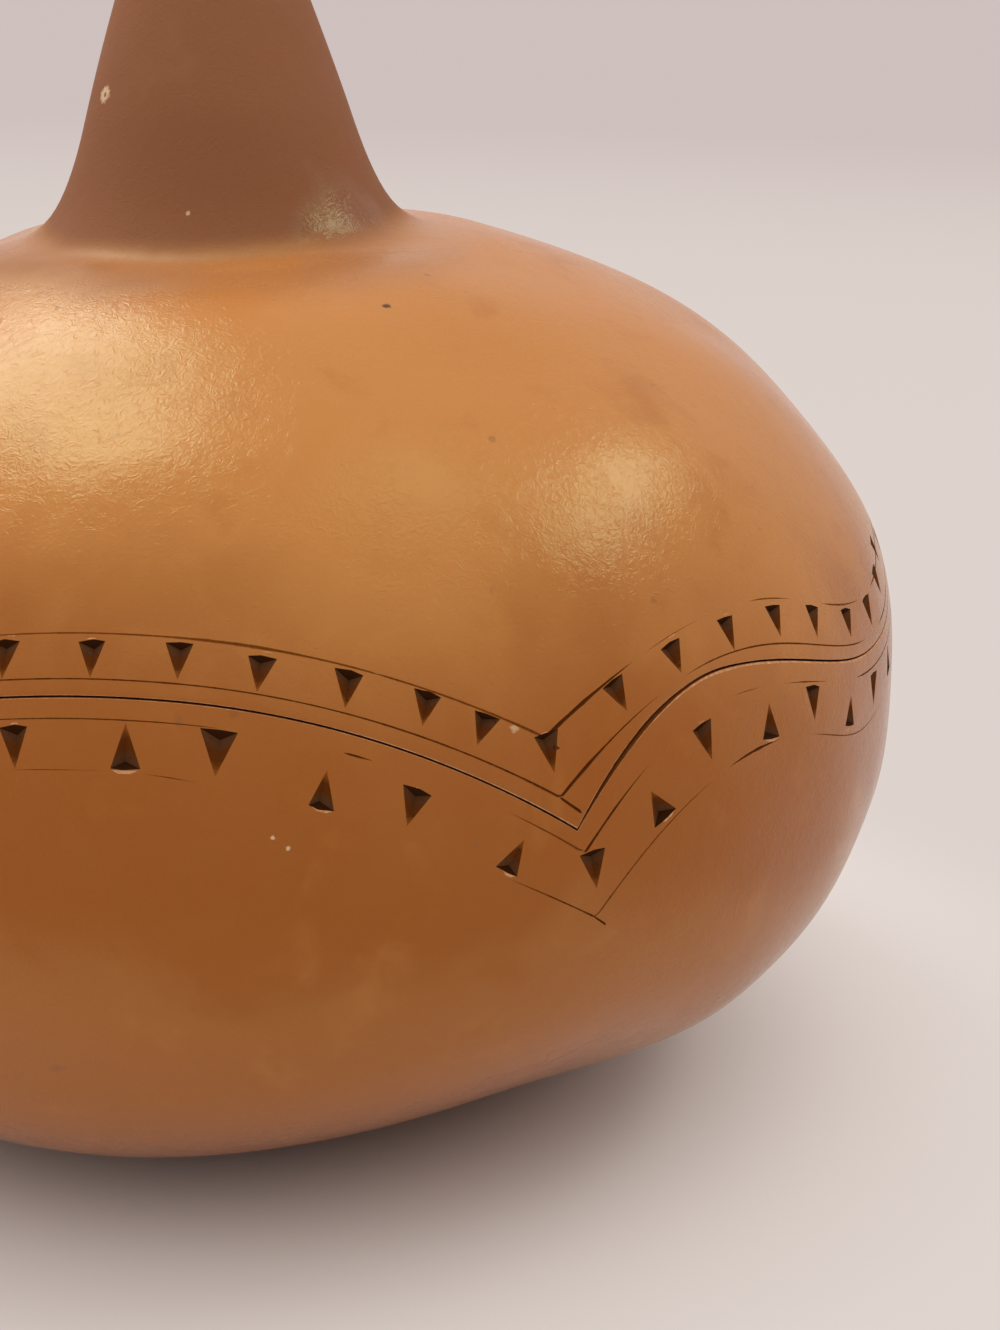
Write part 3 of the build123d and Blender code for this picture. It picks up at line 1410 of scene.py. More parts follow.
    def bowl_chips(self) -> list[Cut]:
        """Cut the row of chips under the saw cut, pointing down and up in turn.

        Returns:
            The chips and the pale slivers beside them, partly painted glints.
        """
        dice, hand = self.dice, self.hand
        first = self.lower_front[0][0] + 360.0
        places = [(*chip, bool(i % 2)) for i, chip in enumerate(self.lower_front)]
        top = self.bowl_inner
        for i, angle in enumerate(self._behind(self.lower_front[-1][0], first, self.lower_pitch)):
            upwards = i % 2 == 0
            line, gap = (self.bowl_outer, self.chip_gap) if upwards else (top, -self.chip_gap)
            width = self.lower_width * dice.uniform(*hand.lower_size)
            length = self.lower_length * dice.uniform(*hand.lower_size)
            places.append((angle, line.height(angle) + gap, width, length, upwards))
        found: list[Cut] = []
        for angle, height, width, length, upwards in places:
            aim = self.lower_key_aim if angle == self.lower_key else self._aim(top, angle, upwards)
            chip = self.chip((angle, height), width, length, aim)
            found.append(chip)
            if upwards:
                found.append(self.flake_and_glint(chip, dice.uniform(*hand.rising_flake), self.rising_flake_reach))
            elif dice.random() < hand.lower_odds:
                found.append(self.flake_and_glint(chip, self.falling_flake_share, self.falling_flake_reach))
        return found

    def stroke(self, line: Wave, knots: Sequence[Pair], dark: float = 0.1) -> Groove:
        """One stretch of a scratched line.

        Args:
            line: The line that it follows.
            knots: Degrees and width, in order.
            dark: How black it is burnt.

        Returns:
            The scratch.
        """
        angles, widths = (np.array(values) for values in zip(*knots))
        count = max(self.stroke_points, round((angles[-1] - angles[0]) / self.stroke_step))
        fine = np.unique(np.concatenate([np.linspace(angles[0], angles[-1], count), angles]))
        wobble = np.array([self.dice.uniform(*self.hand.wobble) for _ in fine])
        half = np.interp(fine, angles, widths) * wobble / 2
        return Groove(self._unrolled(fine), line.heights(fine), half, dark)

    def slash(self, start: Pair, end: Pair, width: float, dark: float) -> Groove:
        """A short straight scratch.

        Args:
            start: Degrees and height where it starts.
            end: Degrees and height where it ends.
            width: Its greatest width.
            dark: How black it is burnt.

        Returns:
            The scratch.
        """
        part, swell = np.array(self.slash_shape).T
        angles = start[0] + (end[0] - start[0]) * part
        heights = start[1] + (end[1] - start[1]) * part
        return Groove(self._unrolled(angles), heights, width / 2 * swell, dark)

    def _unrolled(self, angles: np.ndarray) -> np.ndarray:
        """Millimetres round for a run of angles that doesn't cross the cut line."""
        first = float(self._round(angles[0]))
        return first + np.radians(angles - angles[0]) * self.radius

    def _round_back(self, line: Wave, start: float, width: float) -> list[Cut]:
        """Uneven stretches of a line round the back.

        Args:
            line: The line that they follow.
            start: Angle where the first one starts.
            width: Their mean width.

        Returns:
            The scratches, of which none crosses the cut line.
        """
        dice, hand = self.dice, self.hand
        found: list[Cut] = []
        angle = start
        while angle < self.back_end - self.back_least:
            reach = min(angle + dice.uniform(*hand.stretch), self.back_end)
            if angle < self.cut_line < reach:
                reach = self.cut_line - self.cut_clear
            full = width * dice.uniform(*hand.stretch_width)
            middle = ((angle + reach) / 2, self.back_middle * full)
            knots = [(angle, 0.0), (angle + self.back_lead, full), middle, (reach, 0.0)]
            found.append(self.stroke(line, knots, dice.uniform(*hand.stretch_dark)))
            angle = reach + dice.uniform(*hand.stretch_gap)
            if self.cut_line - self.cut_near < reach < self.cut_line:
                angle = self.cut_line + self.cut_clear
        return found

    def lid_lines(self) -> list[Cut]:
        """Draw the scratched lines on the lid.

        Returns:
            The scratches.
        """
        outer = self.lid_outer
        inner = self.lid_inner
        return [
            self.stroke(
                outer, [(-24, 0), (-16, 0.2), (-6, 0.22), (-3, 0.36), (0, 0.4), (4, 0.28), (9, 0.22)]
            ),
            self.stroke(outer, [(8.5, 0.22), (14, 0.26), (20.4, 0.38), (20.8, 0)]),
            self.stroke(outer, [(20.7, 0), (21, 0.5), (24, 0.52), (26.5, 0.3), (28.8, 0)], 0.45),
            self.stroke(outer, [(29.5, 0), (32, 0.12), (36.5, 0)], 0.12),
            self.stroke(outer, [(42.4, 0), (44, 0.22), (46, 0.2), (48, 0)]),
            self.stroke(outer, [(52.4, 0), (54, 0.28), (56.5, 0.28), (58, 0.16), (60.5, 0)]),
            self.stroke(
                inner, [(-24, 0), (-17, 0.18), (5, 0.2), (15, 0.24), (21.4, 0.32), (21.8, 0)], 0.22
            ),
            self.slash((21.5, 10.0), (23.3, 7.4), 0.42, 0.4),
            self.stroke(inner, [(21.5, 0), (21.8, 0.48), (24, 0.5), (25.5, 0.26), (31, 0)], 0.38),
            self.stroke(inner, [(33, 0), (36, 0.2), (45, 0.24), (57, 0.22), (59.5, 0)], 0.2),
            *self._round_back(outer, 64.0, 0.26),
            *self._round_back(inner, 64.0, 0.24),
        ]

    def bowl_lines(self) -> list[Cut]:
        """Draw the scratched lines on the bowl.

        Returns:
            The scratches.
        """
        outer = self.bowl_outer
        inner = self.bowl_inner
        return [
            self.stroke(inner, [(-24, 0), (-15, 0.17), (-8, 0.18), (-3.5, 0.12), (-2, 0)], 0.2),
            self.stroke(inner, [(6.1, 0), (6.6, 0.28), (7.2, 0.24), (8.2, 0)], 0.3),
            self.stroke(inner, [(17.6, 0), (19, 0.18), (23, 0.3), (23.6, 0)]),
            self.stroke(inner, [(23.4, 0), (23.7, 0.45), (25.5, 0.34), (27, 0.22), (29.3, 0)], 0.38),
            self.stroke(inner, [(37.8, 0), (39.5, 0.15), (41.2, 0)], 0.12),
            self.stroke(inner, [(44, 0), (47, 0.2), (50.5, 0)], 0.2),
            self.stroke(outer, [(-16.4, 0), (-14, 0.13), (-9.3, 0)], 0.12),
            self.stroke(outer, [(-7.2, 0), (-5.5, 0.16), (-3.5, 0)], 0.15),
            self.stroke(outer, [(17.5, 0), (20, 0.17), (24.6, 0.28), (25, 0)], 0.2),
            self.slash((24.6, -7.7), (25.7, -9.3), 0.32, 0.3),
            self.stroke(outer, [(24.6, 0), (25, 0.28), (29, 0.25), (33, 0.18), (35, 0)]),
            self.stroke(outer, [(36.7, 0), (38, 0.3), (40.3, 0.45), (42.8, 0)], 0.42),
            self.stroke(outer, [(46.8, 0), (50, 0.18), (58, 0.18), (66, 0)], 0.15),
            *self._round_back(outer, 69.0, 0.24),
            *self._round_back(inner, 56.0, 0.24),
        ]

    def cuts(self, half: Half) -> list[Cut]:
        """Carve one half.

        Args:
            half: Which half.

        Returns:
            Its scratches and chips.
        """
        if half is Half.LID:
            return [*self.lid_lines(), *self.lid_chips()]
        return [*self.bowl_lines(), *self.bowl_chips()]


@dataclass
class Draft:
    """A mesh in the making: points, and faces with their finishes and how burnt their corners are."""

    points: list[np.ndarray] = field(default_factory=list)
    faces: list[tuple[int, ...]] = field(default_factory=list)
    finishes: list[int] = field(default_factory=list)
    chars: list[float] = field(default_factory=list)
    count: int = 0

    def put(self, spots: np.ndarray) -> int:
        """Add points.

        Args:
            spots: The points, one to a row.

        Returns:
            Index of the first.
        """
        first = self.count
        self.points.append(spots)
        self.count += len(spots)
        return first

    def face(self, corners: tuple[int, ...], finish: int, char: Iterable[float] | None = None) -> None:
        """Add a face.

        Args:
            corners: Its points, by index.
            finish: Its finish.
            char: How burnt each corner is.
        """
        self.faces.append(corners)
        self.finishes.append(finish)
        self.chars.extend([0.0] * len(corners) if char is None else char)

    def rings(self, rows: Sequence[np.ndarray], finish: int, pole: np.ndarray | None = None) -> None:
        """Join closed rings of points with faces.

        Args:
            rows: The rings, all with the same number of points.
            finish: Finish of the faces.
            pole: Point that closes the last ring, if any.
        """
        starts = [self.put(row) for row in rows]
        size = len(rows[0])
        for low, high in zip(starts, starts[1:]):
            for i in range(size):
                after = (i + 1) % size
                self.face((low + i, low + after, high + after, high + i), finish)
        if pole is not None:
            top = self.put(pole[None, :])
            for i in range(size):
                self.face((starts[-1] + i, starts[-1] + (i + 1) % size, top), finish)

    def build(self, name: str, materials: Sequence[bpy.types.Material], crease: float) -> bpy.types.Object:
        """Turn the draft into a closed, smoothly shaded piece.

        Args:
            name: Name of the piece.
            materials: Its finishes, in the order of their slots.
            crease: Degrees between faces from which an edge stays sharp.

        Returns:
            The new object.
        """
        mesh = bpy.data.meshes.new(name)
        mesh.from_pydata(np.concatenate(self.points).tolist(), [], self.faces)
        burnt = mesh.attributes.new(BURN_AND_SHADE, "FLOAT", "CORNER")
        burnt.data.foreach_set("value", np.array(self.chars, dtype=np.float32))
        mesh.polygons.foreach_set("material_index", np.array(self.finishes, dtype=np.int32))
        for material in materials:
            mesh.materials.append(material)
        shape = bmesh.new()
        shape.from_mesh(mesh)
        bmesh.ops.remove_doubles(shape, verts=shape.verts, dist=WELD)
        bmesh.ops.recalc_face_normals(shape, faces=shape.faces)
        open_edges = sum(1 for edge in shape.edges if len(edge.link_faces) != 2)
        shape.to_mesh(mesh)
        shape.free()
        mesh.shade_smooth()
        mesh.set_sharp_from_angle(angle=math.radians(crease))
        piece = show(name, mesh)
        log.info("%s: %d faces, %d edges not shared by two faces", name, len(mesh.polygons), open_edges)
        return piece


@dataclass(frozen=True)
class WornEdge:
    """The sawn edge's outer corner, worn to the flesh: its widths (degrees, millimetres) and its slant."""

    widths: tuple[Pair, ...]
    slant: float
    ragged: float = 0.25
    ragged_step: int = 4
    seed: int = 11

    def at(self, angles: np.ndarray) -> np.ndarray:
        """Spread the worn widths round the edge, a little ragged.

        Args:
            angles: Angle of each column.

        Returns:
            Worn width at each column, in millimetres.
        """
        knots = np.array(self.widths)
        even = np.interp(angles, knots[:, 0], knots[:, 1], period=360.0)
        dice = random.Random(self.seed)
        places = np.arange(0, len(angles), self.ragged_step)
        jitter = [dice.uniform(-self.ragged, self.ragged) for _ in places]
        return even * (1 + np.interp(np.arange(len(angles)), places, jitter, period=len(angles)))


@dataclass
class GourdShell:
    """One half of the gourd: carved skin, sawn rim and hollow inside."""

    form: GourdForm
    carving: Carving
    half: Half
    edge: WornEdge
    band_reach: float = 36.0
    band_rows: int = 16
    grid_gap: float = 0.32
    flat_weld: float = 1e-4
    least_level: float = 0.01
    outer_rows: int = 84
    inner_rows: int = 34
    rim_rows: int = 4
    crease: float = 26.0

    @cached_property
    def angles(self) -> np.ndarray:
        """Angle of each column, from behind the key once round."""
        return self.carving.key_angle - 180.0 + 360.0 * np.arange(COLUMNS) / COLUMNS

    @cached_property
    def rim_height(self) -> np.ndarray:
        """Height of this half's sawn edge at each column, in millimetres."""
        seam = self.carving.seam.heights(self.angles)
        return seam + self.carving.gap(self.angles) if self.half is Half.LID else seam

    @cached_property
    def skin_height(self) -> np.ndarray:
        """Height where the skin starts beside the worn edge at each column, in millimetres."""
        away = 1 if self.half is Half.LID else -1
        return self.rim_height + away * self.edge.at(self.angles)

    def _band(self, draft: Draft, cuts: Sequence[Cut]) -> None:
        """Add the carved strip along the saw cut.

        Args:
            draft: The mesh to add it to.
            cuts: Chips and scratches in it.
        """
        across = np.radians(360.0 * np.arange(COLUMNS + 1) / COLUMNS) * self.carving.radius
        edge = np.append(self.skin_height, self.skin_height[0])
        part = np.linspace(0.0, 1.0, self.band_rows + 1)
        up = edge[:, None] + (self.band_reach - edge)[:, None] * part
        grid = np.stack([np.broadcast_to(across[:, None], up.shape), up], axis=-1)
        border = np.zeros(up.shape, dtype=bool)
        border[[0, -1], :] = True
        border[:, [0, -1]] = True
        spots = grid.reshape(-1, 2)
        clear = np.ones(len(spots), dtype=bool)
        for cut in cuts:
            clear &= ~cut.near(spots, self.grid_gap)
        kept = np.flatnonzero(border.reshape(-1) | clear)
        index = np.full(len(spots), -1)
        index[kept] = np.arange(len(kept))
        index = index.reshape(up.shape)
        coords = [Vector(spot) for spot in spots[kept]]
        edges: list[tuple[int, int]] = []
        for line in (index[0], index[-1], index[:, 0], index[:, -1]):
            edges.extend((int(a), int(b)) for a, b in zip(line, line[1:]))
        for cut in cuts:
            corners, sides = cut.outline()
            first = len(coords)
            coords.extend(Vector(corner) for corner in corners)
            edges.extend((first + a, first + b) for a, b in sides)
        inside_only = 1
        found, _, faces, *_ = delaunay_2d_cdt(coords, edges, [], inside_only, self.flat_weld)
        flat = np.array([tuple(spot) for spot in found])
        self._carve(draft, flat, np.array(faces), cuts)

    def _carve(self, draft: Draft, flat: np.ndarray, faces: np.ndarray, cuts: Sequence[Cut]) -> None:
        """Sink the cuts into the unrolled strip and wrap it round the gourd.

        Args:
            draft: The mesh to add it to.
            flat: The strip's points, unrolled, in millimetres.
            faces: Its triangles.
            cuts: Chips and scratches.
        """
        sink = np.zeros(len(flat))
        char = np.zeros(faces.shape)
        middles = flat[faces].mean(axis=1)
        finish = np.full(len(faces), int(Finish.SKIN))
        for cut in cuts:
            sink = np.maximum(sink, cut.sink(flat))
            inside = cut.level(middles) > self.least_level
            if cut.finish is Finish.FLESH:
                inside &= finish == int(Finish.SKIN)
            finish[inside] = int(cut.finish)
            char[inside] = np.maximum(char[inside], cut.char(flat[faces[inside]], middles[inside]))
        angle = np.degrees(flat[:, 0] / self.carving.radius) + self.carving.key_angle - 180.0
        turn, run = self.form.locate(self.form.outside, angle, flat[:, 1] * MM)
        first = draft.put(self.form.points(self.form.outside, turn, run, sink * MM))
        for corners, kind, burn in zip((faces + first).tolist(), finish.tolist(), char.tolist()):
            draft.face(tuple(corners), kind, burn)

    def _sweep(self, line: Meridian, height: np.ndarray, end: float, rows: int) -> list[np.ndarray]:
        """Rings of points from a border to the end of a profile.

        Args:
            line: Profile of the surface.
            height: Height of the border at each column, in millimetres.
            end: Run along the profile where the rings end.
            rows: How many steps.

        Returns:
            The rings.
        """
        turn, run = self.form.locate(line, self.angles, height * MM)
        shares = np.linspace(0.0, 1.0, rows + 1)
        return [self.form.points(line, turn, run + (end - run) * share) for share in shares]

    def _ring(self, line: Meridian, height: np.ndarray, sunk: np.ndarray | float = 0.0) -> np.ndarray:
        """Ring of points on a surface.

        Args:
            line: Profile of the surface.
            height: Height of each column, in millimetres.
            sunk: How far each point lies under the surface, in millimetres.

        Returns:
            The points.
        """
        turn, run = self.form.locate(line, self.angles, height * MM)
        return self.form.points(line, turn, run, sunk * MM)

    def _rim(self) -> list[np.ndarray]:
        """Rings of points across the sawn edge.

        Returns:
            The rings, from the skin's worn edge to the hollow.
        """
        sunk = self.edge.slant * np.abs(self.skin_height - self.rim_height)
        skin = self._ring(self.form.outside, self.skin_height)
        outer = self._ring(self.form.outside, self.rim_height, sunk)
        inner = self._ring(self.form.inside, self.rim_height)
        shares = np.linspace(0.0, 1.0, self.rim_rows + 1)
        return [skin, *(outer + (inner - outer) * share for share in shares)]

    def build(self, materials: Sequence[bpy.types.Material]) -> bpy.types.Object:
        """Build the half as one closed mesh.

        Args:
            materials: The shell's finishes, in the order of Finish.

        Returns:
            The piece, riding on its body in place of the solid.
        """
        form = self.form
        lid = self.half is Half.LID
        draft = Draft()
        self._band(draft, self.carving.cuts(self.half))
        border = np.full(COLUMNS, self.band_reach)
        pole_run = form.pole_gap
        outer_end = form.outside.run[-1] if lid else pole_run
        outer = self._sweep(form.outside, border, outer_end, self.outer_rows)
        draft.rings(outer, Finish.SKIN, outer[-1].mean(axis=0))
        rim = self._rim()
        draft.rings(rim[:2], Finish.FLESH)
        # The outer strip of the sawn face is painted shade: the scorched finish stands in for the shade
        # down in the narrow saw gap.
        draft.rings(rim[1:3], Finish.BURNT_AND_SHADE)
        draft.rings(rim[2:], Finish.FLESH)
        inner_end = form.inside.run[-1] - pole_run if lid else pole_run
        inner = self._sweep(form.inside, self.rim_height, inner_end, self.inner_rows)
        draft.rings(inner, Finish.INSIDE, inner[-1].mean(axis=0))
        piece = draft.build(f"carved_{self.half.value}", materials, self.crease)
        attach(piece, self.half.value)
        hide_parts(self.half.value)
        return piece


@dataclass
class Stem:
    """Dried, ridged stem that stands on the neck as the lid's handle."""

    form: GourdForm
    length: float = 27.0 * MM
    foot_radius: float = 8.3 * MM
    waist_radius: float = 4.3 * MM
    end_radius: float = 5.0 * MM
    waist_at: float = 0.3
    swell_at: float = 0.8
    ridges: int = 5
    ridge_depth: float = 0.16
    bend: float = 5.0 * MM
    rows: int = 70
    columns: int = 150
    flare_curve: float = 2.2
    ridge_twist: float = 0.5
    foot_part: float = 0.25
    foot_ridge: float = 0.1
    knot_count: int = 9
    knot_wander: float = 3.0
    knot_height: float = 0.12 * MM
    wave_heights: Pair = (0.3, 1.0)
    wave_parts: int = 3
    full_turn: float = 6.28
    fibre_counts: tuple[int, ...] = (11, 17, 23, 31)
    fibre_depth: float = 0.25 * MM
    ragged_counts: tuple[int, ...] = (3, 7, 13, 19)
    ragged_height: float = 0.5 * MM
    ragged_from: float = 0.85
    ragged_span: float = 0.15
    dish_shares: tuple[float, ...] = (0.93, 0.8, 0.62, 0.45, 0.3, 0.16)
    dish_curve: float = 0.7
    dish_depth: float = 1.6 * MM
    dish_fibre: float = 0.15 * MM
    pith_depth: float = 0.2 * MM
    broken_length: float = 1.0 * MM
    crease: float = 40.0
    seed: int = 5

    @cached_property
    def around(self) -> np.ndarray:
        """Angle of each column, in radians."""
        return 2 * math.pi * np.arange(self.columns) / self.columns

    def _waves(self, dice: random.Random, counts: Iterable[int]) -> np.ndarray:
        """Waves round the stem.

        Args:
            dice: Draws each wave's height and phase.
            counts: How many waves of each kind go round.

        Returns:
            Their sum at each column.
        """
        return sum(
            dice.uniform(*self.wave_heights)
            * np.cos(count * self.around + dice.uniform(0, self.full_turn))
            / self.wave_parts
            for count in counts
        )

    def _radius(self, part: np.ndarray) -> np.ndarray:
        """Radius of the stem.

        Args:
            part: How far up, from 0 to 1.

        Returns:
            The radius without ridges, wide at the foot and a little at the end.
        """
        flare = np.clip(1 - part / self.waist_at, 0.0, 1.0) ** self.flare_curve
        swell = np.clip((part - self.swell_at) / (1 - self.swell_at), 0.0, 1.0) ** 2
        return (
            self.waist_radius
            + (self.foot_radius - self.waist_radius) * flare
            + (self.end_radius - self.waist_radius) * swell
        )

    def _ring(self, part: float, radius: np.ndarray, lift: np.ndarray | float = 0.0) -> np.ndarray:
        """Ring of points square to the bent centre line.

        Args:
            part: How far up the stem.
            radius: Radius at each column.
            lift: How far each point stands over the ring's plane.

        Returns:
            The points, standing on the leaning gourd.
        """
        tilt = 2 * self.bend * part / self.length
        side = radius * np.cos(self.around)
        x = self.bend * part**2 + side * math.cos(tilt) + lift * math.sin(tilt)
        z = self.form.tip_height + self.length * part - side * math.sin(tilt) + lift * math.cos(tilt)
        spots = self.form.tilt(x, radius * np.sin(self.around), z)
        spots[:, 2] += self.form.rise
        return spots

    def build(self) -> bpy.types.Object:
        """Build the stem, with fibres along its ridges and a broken, dished end.

        Returns:
            The piece, riding on the lid in place of the solid.
        """
        dice = random.Random(self.seed)
        around = self.around
        fibres = self._waves(dice, self.fibre_counts)
        ragged = self._waves(dice, self.ragged_counts)
        twist = dice.uniform(0, self.full_turn)
        rows = []
        for part in np.linspace(0.0, 1.0, self.rows):
            ridge = 0.5 + 0.5 * np.cos(self.ridges * around + self.ridge_twist * part)
            depth = self.ridge_depth + self.foot_ridge * max(0.0, self.foot_part - part)
            wander = self.knot_count * part * self.full_turn + twist + self.knot_wander * np.cos(around)
            knots = self.knot_height * np.sin(wander) * min(part / self.foot_part, 1)
            radius = self._radius(np.array(part)) * (1 - depth * (1 - ridge))
            radius = np.minimum(radius + self.fibre_depth * fibres + knots, self.foot_radius)
            lift = self.ragged_height * ragged * max(0.0, part - self.ragged_from) / self.ragged_span
            rows.append(self._ring(float(part), radius, lift))
        rim = radius
        for share in self.dish_shares:
            dish = -self.dish_depth * (1 - share) ** self.dish_curve + self.ragged_height * ragged * share
            rows.append(self._ring(1.0, rim * share, dish + self.dish_fibre * fibres * share))
        draft = Draft()
        draft.rings(rows, 0, rows[-1].mean(axis=0) - np.array([0, 0, self.pith_depth]))
        foot = draft.put(rows[0])
        draft.face(tuple(range(foot, foot + self.columns)), 0)
        tall = float(max(row[:, 2].max() for row in rows))
        wood = StemWood().make(tall - self.broken_length)
        piece = draft.build("dried_stem", [wood], self.crease)
        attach(piece, "lid")
        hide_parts("stem")
        return piece


@dataclass(frozen=True)
class Lamp:
    """A soft lamp that faces the gourd: direction to it, distance, sides, brightness and turn."""

    name: str
    way: tuple[float, float, float]
    distance: float
    sides: Pair
    radiance: float
    turn: float = 0.0


@dataclass
class Studio:
    """Pale floor, soft lamps and the camera."""

    form: GourdForm
    floor_radius: float = 12.0
    floor_sides: int = 96
    cloud: float = 0.15
    cloud_ease: Pair = (0.3, 0.7)
    cloud_share: float = 0.15
    floor_colour: Colour = (0.84, 0.81, 0.80, 1.0)
    haze: Colour = (0.73, 0.65, 0.605, 1.0)
    far_haze: Colour = (0.62, 0.53, 0.515, 1.0)
    far_reach: Pair = (0.4, 4.0)
    haze_reach: Pair = (0.048, 0.182)
    air_colour: Colour = (1.0, 0.97, 0.94, 1.0)
    air_dim: float = 0.09
    air_bright: float = 1.2
    sky_ease: Pair = (0.25, 0.9)
    side_ease: Pair = (0.35, 0.9)
    back_ease: Pair = (-0.3, 0.6)
    right_share: float = 0.4
    wall_share: float = 0.4
    lamp_colour: tuple[float, float, float] = (1.0, 0.97, 0.90)
    lamps: tuple[Lamp, ...] = (
        Lamp("window_left", (-0.36, 0.34, 0.87), 1.33, (0.48, 0.95), 4.8, -25.0),
        Lamp("lamp_right", (0.665, 0.04, 0.745), 1.26, (0.55, 0.26), 4.0),
        Lamp("lamp_above", (0.3, -0.1, 0.95), 1.2, (0.35, 0.35), 1.2),
    )
    eye_distance: float = 0.385
    eye_elevation: float = 16.0
    focal_pixels: float = 2200.2
    centre_pixel: tuple[float, float] = (251.3, 656.1)
    frame_pixels: tuple[int, int] = (1000, 1330)
    sensor: float = 36.0

    def floor(self) -> bpy.types.Object:
        """Lay a wide plain floor that fades into the pale distance.

        Returns:
            The floor.
        """
        board = Board.material("pale_floor")
        cloud = board.noise(self.cloud, detail=3.0)
        pale = board.mix(cloud.ease(*self.cloud_ease) * self.cloud_share, self.floor_colour, self.haze)
        matte = board.take("ShaderNodeBsdfDiffuse", values={0: pale})
        away = board.distance((0.0, 0.0, 0.0))
        distant = board.mix(away.ease(*self.far_reach), self.haze, self.far_haze)
        glow = board.take("ShaderNodeEmission", values={0: distant})
        hazy = away.ease(*self.haze_reach) * board.seen
        material = board.close(board.take("ShaderNodeMixShader", values={0: hazy, 1: matte, 2: glow}))
        shape = bmesh.new()
        bmesh.ops.create_circle(shape, cap_ends=True, segments=self.floor_sides, radius=self.floor_radius)
        mesh = bpy.data.meshes.new("floor")
        shape.to_mesh(mesh)
        shape.free()
        mesh.materials.append(material)
        floor = show("floor", mesh)
        floor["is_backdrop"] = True
        return floor

    def lights(self) -> None:
        """Hang the lamps left and right behind the gourd, and a weak one over it."""
        for lamp in self.lamps:
            data = bpy.data.lights.new(lamp.name, "AREA")
            data.shape = "RECTANGLE"
            data.size, data.size_y = lamp.sides
            data.energy = lamp.radiance * math.pi * lamp.sides[0] * lamp.sides[1]
            data.color = self.lamp_colour
            hung = show(lamp.name, data)
            out = Vector(lamp.way).normalized()
            hung.location = Vector((0, 0, self.form.rise)) + out * lamp.distance
            facing = out.to_track_quat("Z", "Y").to_matrix()
            hung.rotation_euler = (facing @ Matrix.Rotation(math.radians(lamp.turn), 3, "Z")).to_euler()

    def air(self) -> None:
        """Pale air all round that lights the gourd from above and a little from the back and sides."""
        board = Board(bpy.data.worlds.new("studio_air"))
        generated = board.take("ShaderNodeTexCoord", output="Generated")
        way = board.add("ShaderNodeSeparateXYZ", values={0: generated})
        across, back, up = (Signal(board, socket) for socket in way.outputs)
        sky = up.ease(*self.sky_ease)
        left = (across * -1.0).ease(*self.side_ease)
        right = across.ease(*self.side_ease) * self.right_share
        walls = back.ease(*self.back_ease).larger(left.larger(right))
        lit = sky + (1.0 - sky) * walls * self.wall_share
        dim = board.take("ShaderNodeBackground", values={0: self.air_colour, 1: self.air_dim})
        bright = board.take("ShaderNodeBackground", values={0: self.air_colour, 1: self.air_bright})
        light = board.take("ShaderNodeMixShader", values={0: lit, 1: dim, 2: bright})
        pale = board.take("ShaderNodeBackground", values={0: self.far_haze, 1: 1.0})
        shown = board.take("ShaderNodeMixShader", values={0: board.seen, 1: light, 2: pale})
        bpy.context.scene.world = board.close(shown)

    def camera(self) -> None:
        """Camera at the photograph's place, aimed so that the widest line's middle falls on its pixel."""
        data = bpy.data.cameras.new("camera")
        data.sensor_width = self.sensor
        data.lens = self.focal_pixels * self.sensor / max(self.frame_pixels)
        elevation = math.radians(self.eye_elevation)
        back = Vector((0.0, -math.cos(elevation), math.sin(elevation)))
        across = (self.centre_pixel[0] - self.frame_pixels[0] / 2) / self.focal_pixels
        above = (self.frame_pixels[1] / 2 - self.centre_pixel[1]) / self.focal_pixels
        seen = Vector((across, above, 1.0)).normalized()
        facing = Matrix((Vector((1, 0, 0)), back.cross(Vector((1, 0, 0))), back)).transposed()
        pitch = Matrix.Rotation(-math.asin(seen.y), 3, "X")
        yaw = Matrix.Rotation(math.atan2(seen.x, seen.z), 3, "Y")
        place = (facing @ pitch @ yaw).to_4x4()
        place.translation = Vector((0, 0, self.form.rise)) + back * self.eye_distance
        camera = show("camera", data)
        camera.matrix_world = place
        bpy.context.scene.camera = camera

    def build(self) -> None:
        """Set up the floor, the light and the camera."""
        self.floor()
        self.lights()
        self.air()
        self.camera()
        bpy.context.scene.view_settings.view_transform = "Standard"


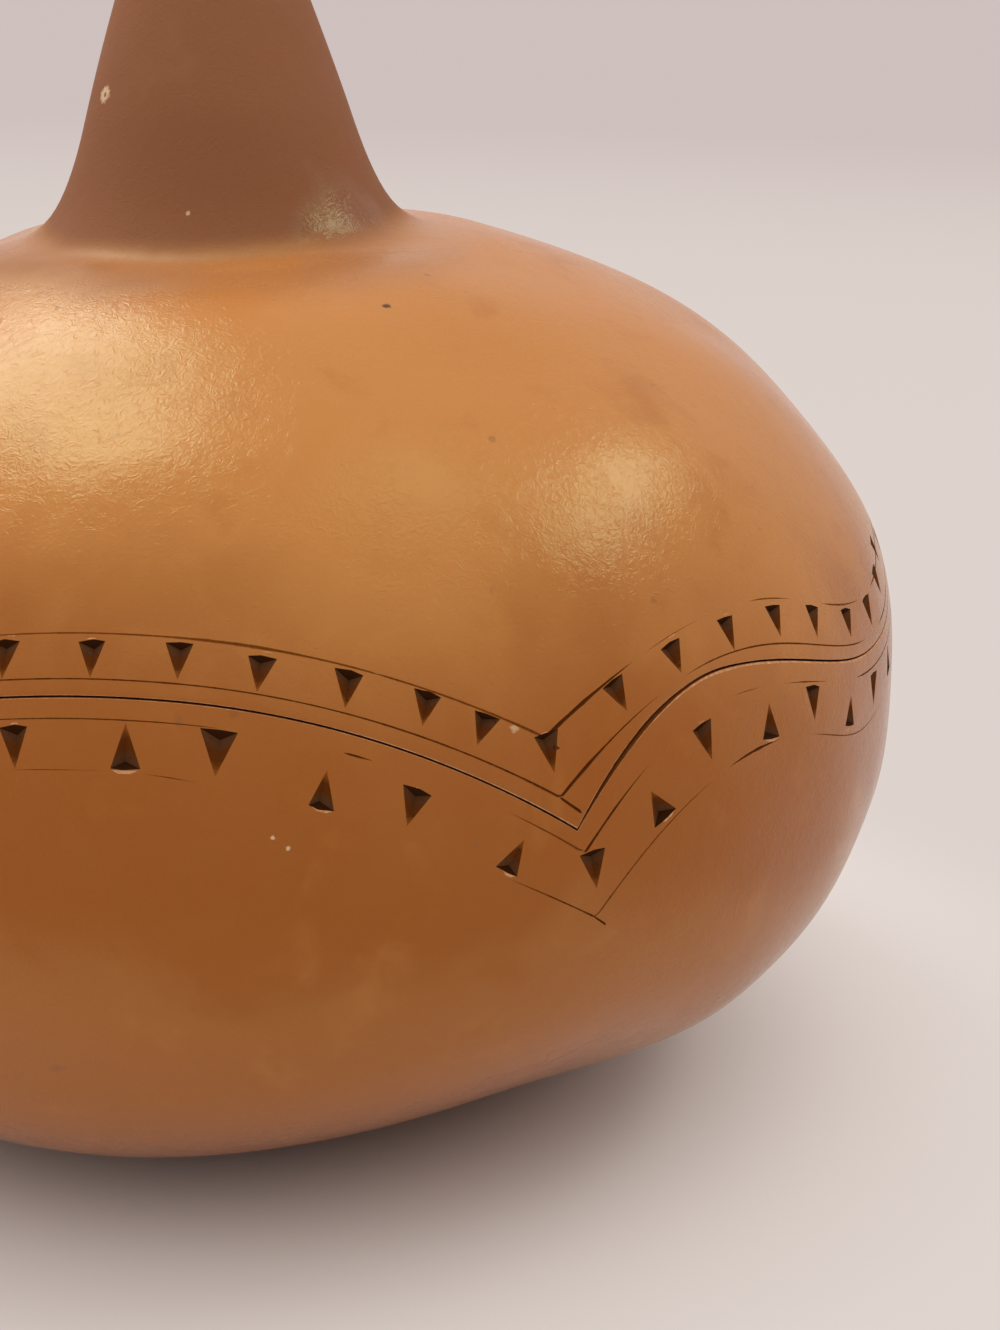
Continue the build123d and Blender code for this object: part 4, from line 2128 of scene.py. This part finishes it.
DARK_MARK = (0.10, 0.035, 0.015, 1.0)
PALE_MARK = (0.85, 0.60, 0.38, 1.0)
BLEMISHES = (
    Blemish(20.8, 68.6, 0.9 * MM, DARK_MARK),
    Blemish(23.0, 52.7, 0.8 * MM, DARK_MARK, 0.3),
    Blemish(-30.4, 67.2, 0.7 * MM, DARK_MARK, 0.4),
    Blemish(-1.2, 22.9, 0.9 * MM, DARK_MARK, 0.2),
    Blemish(1.4, 7.7, 0.34 * MM, PALE_MARK, 0.7),
    Blemish(2.4, 6.3, 0.34 * MM, PALE_MARK, 0.7),
    Blemish(18.4, 19.5, 0.8 * MM, PALE_MARK, 0.5),
    Blemish(-21.5, 80.7, 0.5 * MM, PALE_MARK, 0.6),
    Blemish(-66.5, 94.5, 1.6 * MM, PALE_MARK, 0.7),
    Blemish(-66.5, 94.5, 0.5 * MM, DARK_MARK, 0.8),
)
BOWL_EDGE = WornEdge(
    widths=((28.0, 0.04), (31.0, 0.12), (34.0, 0.28), (40.0, 0.32), (58.0, 0.26), (70.0, 0.06)),
    slant=0.6,
)
LID_EDGE = WornEdge(
    widths=((4.0, 0.04), (14.0, 0.12), (22.9, 0.2), (25.0, 0.16), (30.0, 0.04)),
    slant=0.4,
)


def main() -> None:
    """Build the gourd box and its studio, piece by piece."""
    form = GourdForm()
    carving = Carving()
    shell_finishes = [
        GourdSkin().make(form, BLEMISHES),
        BurntCutAndShade().make(),
        RawFlesh().make(),
        FibrousInside().make(),
    ]
    shells = (
        GourdShell(form, carving, Half.BOWL, BOWL_EDGE, band_reach=-14.0, outer_rows=64),
        GourdShell(form, carving, Half.LID, LID_EDGE),
    )
    for shell in shells:
        log.info("built %s", shell.build(shell_finishes).name)
    log.info("built %s", Stem(form).build().name)
    Studio(form).build()
    boxes = {"cad": CAD_BOX, "visual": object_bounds()}
    sizes = {name: [list(corner) for corner in box] for name, box in boxes.items()}


if __name__ == "__main__":
    logging.basicConfig(level=logging.INFO, format="%(name)s: %(message)s")
    main()
